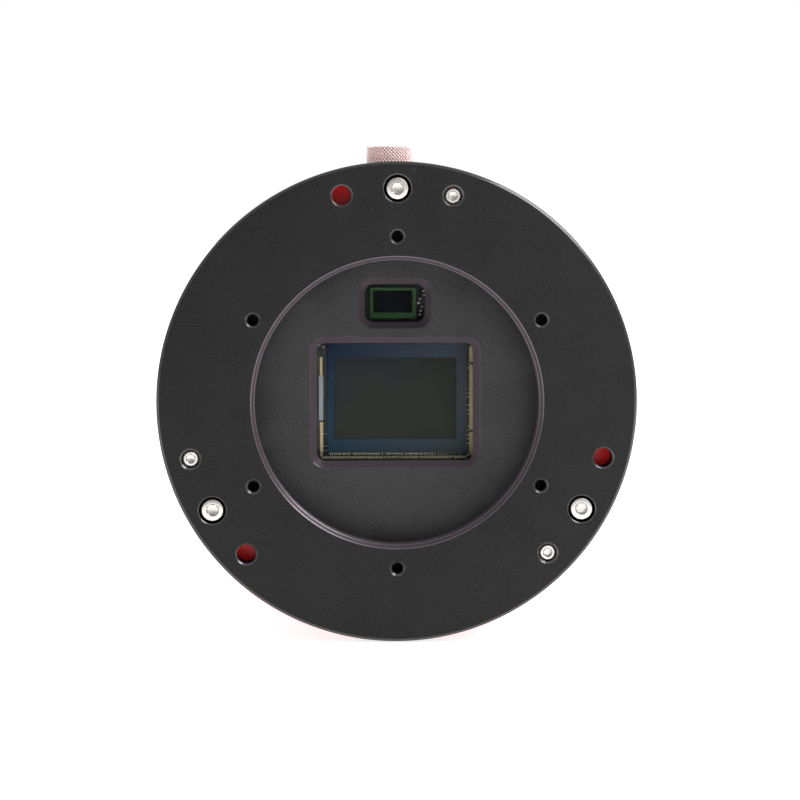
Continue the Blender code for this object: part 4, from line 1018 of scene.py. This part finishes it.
def knurl(radius, low, high, around, depth):
    """A band of raised diamonds, as a height for each angle and level."""
    pitch = 2 * math.pi * radius / around
    columns = around * 8
    rows = int(round((high - low) / pitch * 8))
    levels = []
    for row in range(rows + 1):
        height = low + (high - low) * row / rows
        ring = []
        for column in range(columns):
            turn = column / columns * around
            rise = (height - low) / pitch
            ridge = max(triangle(turn + rise), triangle(turn - rise))
            ring.append(radius - depth * ridge)
        levels.append((height, ring))
    return levels


def triangle(value):
    """A groove's depth across one pitch: 0 on the flat, 1 at the groove's foot."""
    part = abs((value % 1.0) - 0.5) * 2.0
    return max(0.0, (part - 0.45) / 0.55)


def make_antenna():
    """Gold threaded socket and its knurled cap."""
    place = (0.0, ANTENNA_STATION)
    low, high = span("antenna_cap")
    radius = high.x
    bore, roof = 3.4, high.y - 1.0
    levels = knurl(radius, low.y + 0.45, high.y - 0.45, 44, 0.26)
    low_cap = [
        (0.0, roof), (bore, roof), (bore, low.y + 0.15), (bore + 0.15, low.y), (radius - 0.4, low.y),
        (radius - 0.12, low.y + 0.25),
    ]
    high_cap = [
        (radius - 0.12, high.y - 0.25), (radius - 0.4, high.y), (radius - 1.2, high.y),
        (radius - 1.3, high.y - 0.12), (0.0, high.y - 0.12),
    ]
    count = len(levels[0][1])
    rows = [*round_rows(low_cap, count), *levels, *round_rows(high_cap, count)]
    cap = new_object("antenna_cap_fine", [turned(rows, place, "Y")])
    wear(cap, KNURLED, ["antenna_cap"], "antenna_cap", angle=50.0)
    # Painted shade on the floors of the knurl's grooves.
    second_material(
        cap,
        KNURL_GROOVE_PAINTED_SHADE,
        lambda centre, normal: bore + 0.3 < math.hypot(centre.x, centre.z - ANTENNA_STATION) < radius - 0.12
        and low.y + 0.4 < centre.y < high.y - 0.4,
    )

    profile = [
        (0.42, 46.2), (0.5, 46.05), (0.5, 44.6), (2.3, 44.6), (2.3, 46.85), (2.45, 47.0), (2.9, 47.0),
        *thread(3.1, 2.92, 46.7, 43.9, 0.7), (4.3, 43.7), (4.3, 42.9), (3.1, 42.9),
        *thread(3.1, 2.92, 42.6, 37.8, 0.7), (3.0, 37.5), (1.6, 37.5), (1.6, 36.4),
    ]
    socket = new_object("antenna_socket_fine", [lathe(profile, SMALL, place, "Y")])
    wear(socket, PLATED_GOLD, ["antenna_socket"])


# ---------------------------------------------------------------- body


def make_body_shell():
    """Red tube with rounded cooling slots, screw bosses inside and a pocket for the antenna."""
    front, back = SHELL_HIGH.z, SHELL_LOW.z
    profile = [
        (BODY_INSIDE, front), (BODY_RADIUS - 0.35, front), (BODY_RADIUS, front - 0.35),
        (BODY_RADIUS, back + 0.35), (BODY_RADIUS - 0.35, back), (BODY_INSIDE, back),
    ]
    shell = new_object("body_shell_fine", [lathe(profile, FINE, closed=True)])
    wall = (BODY_RADIUS + BODY_INSIDE) / 2
    slots = []
    for angle in vent_angles():
        turn = Matrix.Rotation(math.radians(angle), 4, "Z") @ Matrix.Translation((wall, 0.0, SLOT_STATION))
        turn = turn @ Matrix.Rotation(math.pi / 2, 4, "Y")
        slots.append(stack([(-4.0, 14.0, 3.0, 1.49), (4.0, 14.0, 3.0, 1.49)], steps=8, turn=turn))
    cut(
        shell,
        *slots,
        rod(3.4, 38.0, 43.0, (0.0, ANTENNA_STATION), 64, along="Y"),
    )
    pocket = [(5.6, 42.6), (5.75, 42.75), (5.75, 43.9), (6.3, 44.8), (6.3, 48.0)]
    cut(shell, lathe(pocket, MEDIUM, (0.0, ANTENNA_STATION), "Y"))
    wear(shell, BODY_RED, ["body_shell"])
    bosses = []
    for angle in FRONT_BOSS_ANGLES:
        bosses.append(boss(front, front - BOSS_LENGTH, angle))
    for angle in REAR_BOSS_ANGLES:
        bosses.append(boss(back, back + BOSS_LENGTH, angle))
    trim("shell_bosses", bosses, BODY_RED)


def boss(mouth, foot, angle):
    """A screw boss on the shell's inner wall, with its hole."""
    sign = 1.0 if foot > mouth else -1.0
    profile = [
        (1.3, foot - 1.5 * sign), (1.3, mouth + 0.02 * sign), (1.8, mouth + 0.02 * sign),
        (2.6, mouth + 0.02 * sign), (2.6, foot - 0.4 * sign), (2.2, foot),
    ]
    return lathe(profile, 32, polar(BOSS_CIRCLE, angle))


def vent_angles():
    """Every twelfth degree, apart from those near a boss or the antenna."""
    blocked = [*FRONT_BOSS_ANGLES, 90.0]
    return [a for a in range(0, 360, 12) if all(abs((a - b + 180) % 360 - 180) > 10 for b in blocked)]


def make_plug():
    """Slotted plug of the drying compartment."""
    profile = [
        (5.05, 44.0), (5.3, 43.85), (5.4, 43.6), (5.4, 42.1), (4.1, 42.1),
        *thread(4.1, 3.85, 41.8, 36.4, 0.75), (3.6, 36.0),
    ]
    plug = new_object("desiccant_plug_fine", [lathe(profile, MEDIUM, (0.0, DRY_STATION), "X")])
    turn = Matrix.Translation((44.0, 0.0, DRY_STATION)) @ Matrix.Rotation(math.pi / 2, 4, "Y")
    cut(plug, stack([(-0.9, 1.5, 8.4, 0.2), (2.0, 1.5, 8.4, 0.2)], turn=turn))
    wear(plug, COVER_BLACK, ["desiccant_plug"])


# ---------------------------------------------------------------- fan and rear cover


def fan_corner_places():
    x, y = FAN_CENTRE
    reach = FAN_SCREW_REACH
    return [(x + a * reach, y + b * reach) for a in (-1, 1) for b in (-1, 1)]


def make_fan():
    """Moulded frame with three struts and a hub, and a rotor with curved blades."""
    low, high = FAN_LOW.z, FAN_HIGH.z
    shell = new_object("fan_frame_fine", [node_slab("fan_frame", 3.0, 0.3)])
    duct_radius, mouth_radius, hub_radius = 23.2, 24.6, 9.0
    duct = [
        (mouth_radius, low - EXTRA), (duct_radius, low + 1.2), (duct_radius, high - 1.2),
        (mouth_radius, high + EXTRA),
    ]
    holes = [rod(SCREW_HOLE, low - EXTRA, low + 13.0, p, 32) for p in fan_corner_places()]
    cut(shell, lathe(duct, MEDIUM, FAN_CENTRE), *holes)
    wear(shell, FAN_PLASTIC, ["fan_frame"])
    struts = [rod(hub_radius, high - 1.5, high, FAN_CENTRE, SMALL, 0.3)]
    for angle in PULL_ANGLES:
        turn = Matrix.Translation((*FAN_CENTRE, 0.0)) @ Matrix.Rotation(math.radians(angle), 4, "Z")
        struts.append(slab((14.6, 3.0, 1.2), (16.2, 0.0, high - 0.9), 0.3, 0.2, turn))
    trim("fan_struts", struts, FAN_PLASTIC)

    top, bottom = high - 2.0, low + 0.8
    profile = [
        (hub_radius - 1.0, bottom), (hub_radius - 0.3, bottom + 0.25), (hub_radius, bottom + 0.9),
        (hub_radius, top - 0.4), (hub_radius - 0.4, top),
    ]
    shapes = [lathe(profile, MEDIUM, FAN_CENTRE)]
    reach = min(span("fan_rotor")[1].x, 22.6)
    for n in range(7):
        shapes.append(blade(360.0 * n / 7, 8.8, reach, (top + bottom) / 2))
    rotor = new_object("fan_rotor_fine", shapes)
    wear(rotor, FAN_PLASTIC, ["fan_rotor"], "fan_rotor", angle=45.0)
    label = [(6.4, bottom - 0.06), (6.6, bottom + 0.1)]
    trim("fan_hub_label", [lathe(label, SMALL, FAN_CENTRE)], CHIP, "fan_rotor")


def blade(angle, inner, outer, middle):
    """A curved, twisted fan blade of tapering thickness."""

    def add(bm):
        across, along = 12, 10
        sides = []
        for face in (1.0, -1.0):
            grid = []
            for i in range(along + 1):
                radius = inner + (outer - inner) * i / along
                pitch = math.radians(48.0 - 14.0 * i / along)
                chord = 9.5 + 1.5 * i / along
                row = []
                for j in range(across + 1):
                    t = j / across - 0.5
                    camber = 0.9 * (1.0 - 4.0 * t * t)
                    thick = 0.45 * (1.0 - 3.2 * t * t) + 0.08
                    u = chord * t
                    v = camber + face * thick
                    side = u * math.cos(pitch) - v * math.sin(pitch)
                    rise = u * math.sin(pitch) + v * math.cos(pitch)
                    turn = math.radians(angle) + side / radius
                    x, y = radius * math.cos(turn), radius * math.sin(turn)
                    row.append(bm.verts.new((FAN_CENTRE[0] + x, FAN_CENTRE[1] + y, middle + rise)))
                grid.append(row)
            sides.append(grid)
        upper, lower = sides
        for grid in sides:
            for i in range(along):
                for j in range(across):
                    bm.faces.new((grid[i][j], grid[i + 1][j], grid[i + 1][j + 1], grid[i][j + 1]))
        border = [(i, 0) for i in range(along)] + [(along, j) for j in range(across)]
        border += [(i, across) for i in range(along, 0, -1)] + [(0, j) for j in range(across, 0, -1)]
        for (a, b), (c, d) in zip(border, border[1:] + border[:1]):
            bm.faces.new((upper[a][b], upper[c][d], lower[c][d], lower[a][b]))

    return add


def make_fan_grille():
    """Finger guard: a square plate with an opening, two rings, a middle disc and two crossing bars."""
    low, high = GRILLE_LOW.z, GRILLE_HIGH.z
    middle = (low + high) / 2
    plate = new_object("fan_grille_fine", [node_slab("fan_grille", 3.0, 0.2)])
    cut(
        plate,
        rod(22.3, low - 1, high + 1, FAN_CENTRE, MEDIUM),
        *[rod(SCREW_HOLE, low - EXTRA, high + EXTRA, p, 32) for p in fan_corner_places()],
    )
    wear(plate, COVER_BLACK, ["fan_grille"])
    wires = []
    for radius in (17.6, 12.0):
        section = []
        for n in range(12):
            x, y = polar(0.62, 30.0 * n)
            section.append((radius + x, middle + y))
        wires.append(lathe(section, MEDIUM, FAN_CENTRE, closed=True))
    for angle in (45.0, 135.0):
        x, y = polar(22.4, angle)
        start = (FAN_CENTRE[0] - x, FAN_CENTRE[1] - y, middle)
        end = (FAN_CENTRE[0] + x, FAN_CENTRE[1] + y, middle)
        wires.append(tube([start, end], 0.58, 12))
    wires.append(rod(4.4, low, high, FAN_CENTRE, SMALL, 0.3))
    trim("fan_guard_wires", wires, COVER_BLACK)


def make_rear_cover():
    """Black cup with the air outlet, the port holes and recessed screw holes."""
    front, back = COVER_HIGH.z, COVER_LOW.z
    inside = back + 3.0
    profile = [
        (BODY_INSIDE, inside), (BODY_INSIDE, front), (BODY_RADIUS - 0.35, front),
        (BODY_RADIUS, front - 0.35), (BODY_RADIUS, back + 1.5), (BODY_RADIUS - 0.12, back + 0.95),
        (BODY_RADIUS - 0.55, back + 0.3), (BODY_RADIUS - 1.3, back),
    ]
    cover = new_object("rear_cover_fine", [lathe(profile, FINE)])
    columns = [polar(BOSS_CIRCLE, a) for a in REAR_BOSS_ANGLES]
    join(cover, *[rod(2.9, inside - 0.5, front, p, 32) for p in columns])
    low, through = back - EXTRA, inside + EXTRA
    outlet = [(22.9 + EXTRA, low), (22.5, back + 0.4), (22.5, through)]
    cut(cover, lathe(outlet, FINE, FAN_CENTRE), *port_cutters(low, through, back))
    seat = back + 2.0
    screw_holes = []
    for at in [*columns, *fan_corner_places()]:
        top = front + EXTRA if at in columns else through
        hole = [(HEAD_HOLE + 0.25 + EXTRA, low), (HEAD_HOLE, back + 0.25), (HEAD_HOLE, seat)]
        screw_holes.append(lathe([*hole, (SCREW_HOLE, seat), (SCREW_HOLE, top)], SMALL, at))
    cut(cover, *screw_holes)
    wear(cover, COVER_BLACK, ["rear_cover"])


DC_JACKS = ["dc_input_jack", *[f"dc_output_jack_{n}" for n in range(1, 5)]]
USB_A_PORTS = ["usb_a_port_1", "usb_a_port_2"]


def port_cutters(low, high, back):
    """Holes with chamfered mouths for the sockets, the light and the button."""
    edge = 0.35

    def round_hole(node, radius):
        profile = [(radius + edge + EXTRA, low), (radius, back + edge), (radius, high)]
        return lathe(profile, SMALL, place_at(node))

    def square_hole(node, width, height, corner):
        grow = 2 * (edge + EXTRA)
        mouth = (low, width + grow, height + grow, corner + edge + EXTRA)
        hole = (width, height, corner)
        return stack([mouth, (back + edge, *hole), (high, *hole)], place_at(node), 6)

    return [
        *[round_hole(node, 4.0) for node in DC_JACKS],
        square_hole("usb_c_port", 9.74, 3.96, 1.9),
        *[square_hole(node, 13.9, 6.5, 0.5) for node in USB_A_PORTS],
        round_hole("status_light", 1.5),
        round_hole("reset_button", 1.8),
    ]


def make_rear_screws():
    """Four cover screws and the four that hold the fan."""
    for number, angle in enumerate(REAR_BOSS_ANGLES, start=1):
        node = f"rear_screw_{number}"
        low, high = span(node)
        at = polar(BOSS_CIRCLE, angle)
        make_socket_screw(f"{node}_fine", at, (low.z, high.z), 1.5, (1.5, 1.0), -1.0, replaces=[node])
    for number, at in enumerate(fan_corner_places(), start=1):
        ends = (COVER_LOW.z + 0.2, FAN_LOW.z + 11.0)
        make_socket_screw(f"fan_screw_{number}", at, ends, 1.5, (1.5, 1.0), -1.0)


# ---------------------------------------------------------------- ports and controls


def make_dc_jack(node):
    """Moulded barrel jack with a chamfered nose, a spring contact and a centre pin."""
    low, high = span(node)
    at = place_at(node)
    end, shoulder, floor = low.z, COVER_LOW.z + 3.3, -90.2
    block = slab((8.6, 9.6, high.z - shoulder), (*at, (high.z + shoulder) / 2), 0.5, 0.15)
    jack = new_object(f"{node}_fine", [block])
    join(jack, rod(3.7, end, shoulder + 1.0, at, SMALL, 0.2))
    cut(jack, lathe([(3.15 + EXTRA, end - EXTRA), (2.9, end + 0.25), (2.9, floor)], SMALL, at))
    wear(jack, PORT_PLASTIC, [node])
    pin = lathe([(0.0, end + 0.8), (0.6, end + 0.85), (1.0, end + 1.3), (1.0, floor)], 32, at)
    tube_profile = [(2.86, end + 1.0), (2.86, -90.4), (2.7, -90.4), (2.7, end + 1.0)]
    sleeve = lathe(tube_profile, SMALL, at, closed=True)
    trim(f"{node}_contacts", [pin, sleeve], PORT_SHELL)


def port_shell(node, corner, wall, bore_corner, depth, steps):
    """A drawn or folded metal shell, open at its outer end."""
    low, high = span(node)
    at = place_at(node)
    shell = new_object(f"{node}_fine", [node_slab(node, corner, 0.1)])
    bore = (high.x - low.x - 2 * wall, high.y - low.y - 2 * wall, bore_corner)
    cut(shell, stack([(low.z - EXTRA, *bore), (low.z + depth, *bore)], at, steps))
    return shell


def make_usb_c_port():
    """Seamless drawn shell round a black tongue with gold contacts."""
    shell = port_shell("usb_c_port", 1.5, 0.25, 1.25, 6.7, 8)
    wear(shell, PORT_SHELL, ["usb_c_port"])
    x, y = place_at("usb_c_port")
    end = span("usb_c_port")[0].z
    tongue = slab((6.6, 0.7, 5.9), (x, y, end + 3.8), 0.1, 0.08)
    trim("usb_c_tongue", [tongue], PORT_PLASTIC)
    contacts = []
    for n in range(12):
        for side in (-1.0, 1.0):
            at = (x - 2.75 + 0.5 * n, y + side * 0.36, end + 3.2)
            contacts.append(slab((0.22, 0.04, 3.6), at, 0.015))
    trim("usb_c_contacts", contacts, PLATED_GOLD)


def make_usb_a_port(node):
    """Folded shell with two spring tabs, a black tongue and four contacts."""
    low, high = span(node)
    x, y = place_at(node)
    end = low.z
    roof = y + (high.y - low.y) / 2
    shell = port_shell(node, 0.35, 0.3, 0.3, 9.0, 6)
    sides = (x - 3.2, x + 3.2)
    cut(shell, *[slab((1.6, EXTRA, 4.2), (side, roof, end + 4.0), 0.3) for side in sides])
    wear(shell, PORT_SHELL, [node])
    springs = [slab((1.25, 0.25, 4.0), (side, roof - 0.3, end + 4.1), 0.1, 0.05) for side in sides]
    trim(f"{node}_springs", springs, PORT_SHELL)
    tongue = slab((11.1, 1.8, 8.6), (x, y + 0.9, end + 5.0), 0.15, 0.1)
    trim(f"{node}_tongue", [tongue], PORT_PLASTIC)
    contacts = []
    for side in (-3.5, -1.0, 1.0, 3.5):
        contacts.append(slab((1.0, 0.06, 5.6), (x + side, y - 0.02, end + 4.4), 0.02))
    trim(f"{node}_contacts", contacts, PLATED_GOLD)


def make_controls():
    """Domed light pipe and dished reset button."""
    low, high = span("status_light")
    dome = [(0.0, low.z), (0.5, low.z + 0.03), (0.9, low.z + 0.14), (1.2, low.z + 0.4), (1.2, high.z)]
    light = new_object("status_light_fine", [lathe(dome, SMALL, place_at("status_light"))])
    wear(light, LIGHT_PIPE, ["status_light"])
    low, high = span("reset_button")
    collar = COVER_LOW.z + 3.3
    profile = [
        (0.0, low.z + 0.25), (0.7, low.z + 0.15), (1.1, low.z), (1.38, low.z + 0.08),
        (1.5, low.z + 0.3), (1.5, collar), (2.4, collar), (2.4, collar + 1.0), (1.5, collar + 1.0),
        (1.5, high.z),
    ]
    button = new_object("reset_button_fine", [lathe(profile, SMALL, place_at("reset_button"))])
    wear(button, BUTTON_PLASTIC, ["reset_button"], "reset_button")


# ---------------------------------------------------------------- inner pieces that stay as they are

KEPT = {
    "lid_seal": SEAL,
    "main_window_seal": SEAL,
    "guide_window_seal": SEAL,
    "desiccant_seal": SEAL,
    "cap_gasket": SEAL,
    "sensor_board": BOARD,
    "camera_board": BOARD,
    "computer_board": BOARD,
    "port_board": BOARD,
    "cold_finger": COPPER,
    "cooler": CERAMIC_WHITE,
    "insulation": FOAM,
    "desiccant_tablet": DESICCANT,
    "heat_sink": ALUMINIUM,
    "sensor_ribbon": FLEX,
    "cooler_lead": JACKET,
    "fan_lead": JACKET,
    "antenna_lead": JACKET,
    "antenna_nut": PLATED_GOLD,
}


def dress_kept_nodes():
    for node, material in KEPT.items():
        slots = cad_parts[node].material_slots
        for one in slots:
            one.material = material
        if not slots:
            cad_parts[node].data.materials.append(material)


# ---------------------------------------------------------------- floor, light and camera


FLOOR_REACH = 6.0  # metres from the object to the floor's edge
FLOOR_GAP = 0.0003


def make_floor():
    """Plain pale floor just under the object."""
    material, tree, shader = tree_of("floor_white")
    cloud = remap(tree, noise(tree, 400.0, 2.0), 0.3, 0.7, 0.0, 1.0)
    tone = blend(tree, cloud, (0.95, 0.95, 0.95), (0.97, 0.97, 0.97))
    tree.links.new(tone, shader.inputs["Base Color"])
    shader.inputs["Roughness"].default_value = 0.9
    shader.inputs["Specular IOR Level"].default_value = 0.0
    shader.inputs["Emission Color"].default_value = (1.0, 1.0, 1.0, 1.0)
    shader.inputs["Emission Strength"].default_value = 0.8
    mesh = bpy.data.meshes.new("floor")
    bm = bmesh.new()
    bmesh.ops.create_grid(bm, x_segments=8, y_segments=8, size=FLOOR_REACH)
    bm.to_mesh(mesh)
    bm.free()
    floor = linked("floor", mesh)
    floor.location.z = cad_low.z - FLOOR_GAP
    floor.data.materials.append(material)


def area_light(name, place, size, energy, colour=(1.0, 1.0, 1.0), target=(0.0, 0.03, 0.0)):
    lamp = bpy.data.lights.new(name, "AREA")
    lamp.energy = energy
    lamp.size = size
    lamp.color = colour
    item = linked(name, lamp)
    item.location = place
    item.rotation_euler = (Vector(target) - Vector(place)).to_track_quat("-Z", "Y").to_euler()


FRONT_OF_ROOM = 0.4  # how bright the room is on the camera's side, against 1 behind the object


def make_light():
    """White surroundings and two panels up to the right, one beside the object and one before it."""
    world = bpy.data.worlds.new("white_room")
    world.use_nodes = True
    tree = world.node_tree
    backdrop = tree.nodes["Background"]
    backdrop.inputs["Color"].default_value = (1.0, 1.0, 1.0, 1.0)
    where = add_node(tree, "ShaderNodeTexCoord")
    parts = add_node(tree, "ShaderNodeSeparateXYZ", {"Vector": where.outputs["Generated"]})
    room = remap(tree, parts.outputs["Y"], -0.8, 0.2, FRONT_OF_ROOM, 1.0)
    seen = add_node(tree, "ShaderNodeLightPath").outputs["Is Camera Ray"]
    strength = add_node(tree, "ShaderNodeMath", {0: room, 1: seen}, operation="MAXIMUM")
    tree.links.new(strength.outputs[0], backdrop.inputs["Strength"])
    bpy.context.scene.world = world
    area_light("key_panel", (0.52, -0.04, 0.6), 0.4, 4.5)
    area_light("front_panel", (0.5, -0.68, 0.62), 0.7, 3.4)


def make_camera():
    """Long lens, a little above the axis and to its left."""
    distance, azimuth, elevation = 0.45, math.radians(-2.0), math.radians(4.5)
    back = Vector(
        (
            math.sin(azimuth) * math.cos(elevation),
            -math.cos(azimuth) * math.cos(elevation),
            math.sin(elevation),
        )
    )
    data = bpy.data.cameras.new("camera")
    data.sensor_width = 36.0
    data.lens = 108.45
    data.shift_x = 0.0031
    data.shift_y = 0.0042
    data.clip_start = 0.01
    item = linked("camera", data)
    item.location = back * distance
    item.rotation_euler = (-back).to_track_quat("-Z", "Y").to_euler()
    bpy.context.scene.camera = item
    bpy.context.scene.view_settings.view_transform = "Standard"


# ---------------------------------------------------------------- assembly


def main():
    make_tilt_plate()
    for number, angle in enumerate(PULL_ANGLES, start=1):
        make_pull_screw(number, polar(SCREW_CIRCLE, angle))
        make_push_screw(number, polar(SCREW_CIRCLE, angle + PUSH_TURN))
    make_front_housing()
    make_chamber_lid()
    make_hidden_screws()
    make_windows()
    make_main_sensor()
    make_sensor_trim()
    make_guide_sensor()
    make_antenna()
    make_body_shell()
    make_plug()
    make_fan()
    make_fan_grille()
    make_rear_cover()
    make_rear_screws()
    for node in DC_JACKS:
        make_dc_jack(node)
    make_usb_c_port()
    for node in USB_A_PORTS:
        make_usb_a_port(node)
    make_controls()
    dress_kept_nodes()
    make_floor()
    make_light()
    make_camera()


main()
bpy.context.view_layer.update()
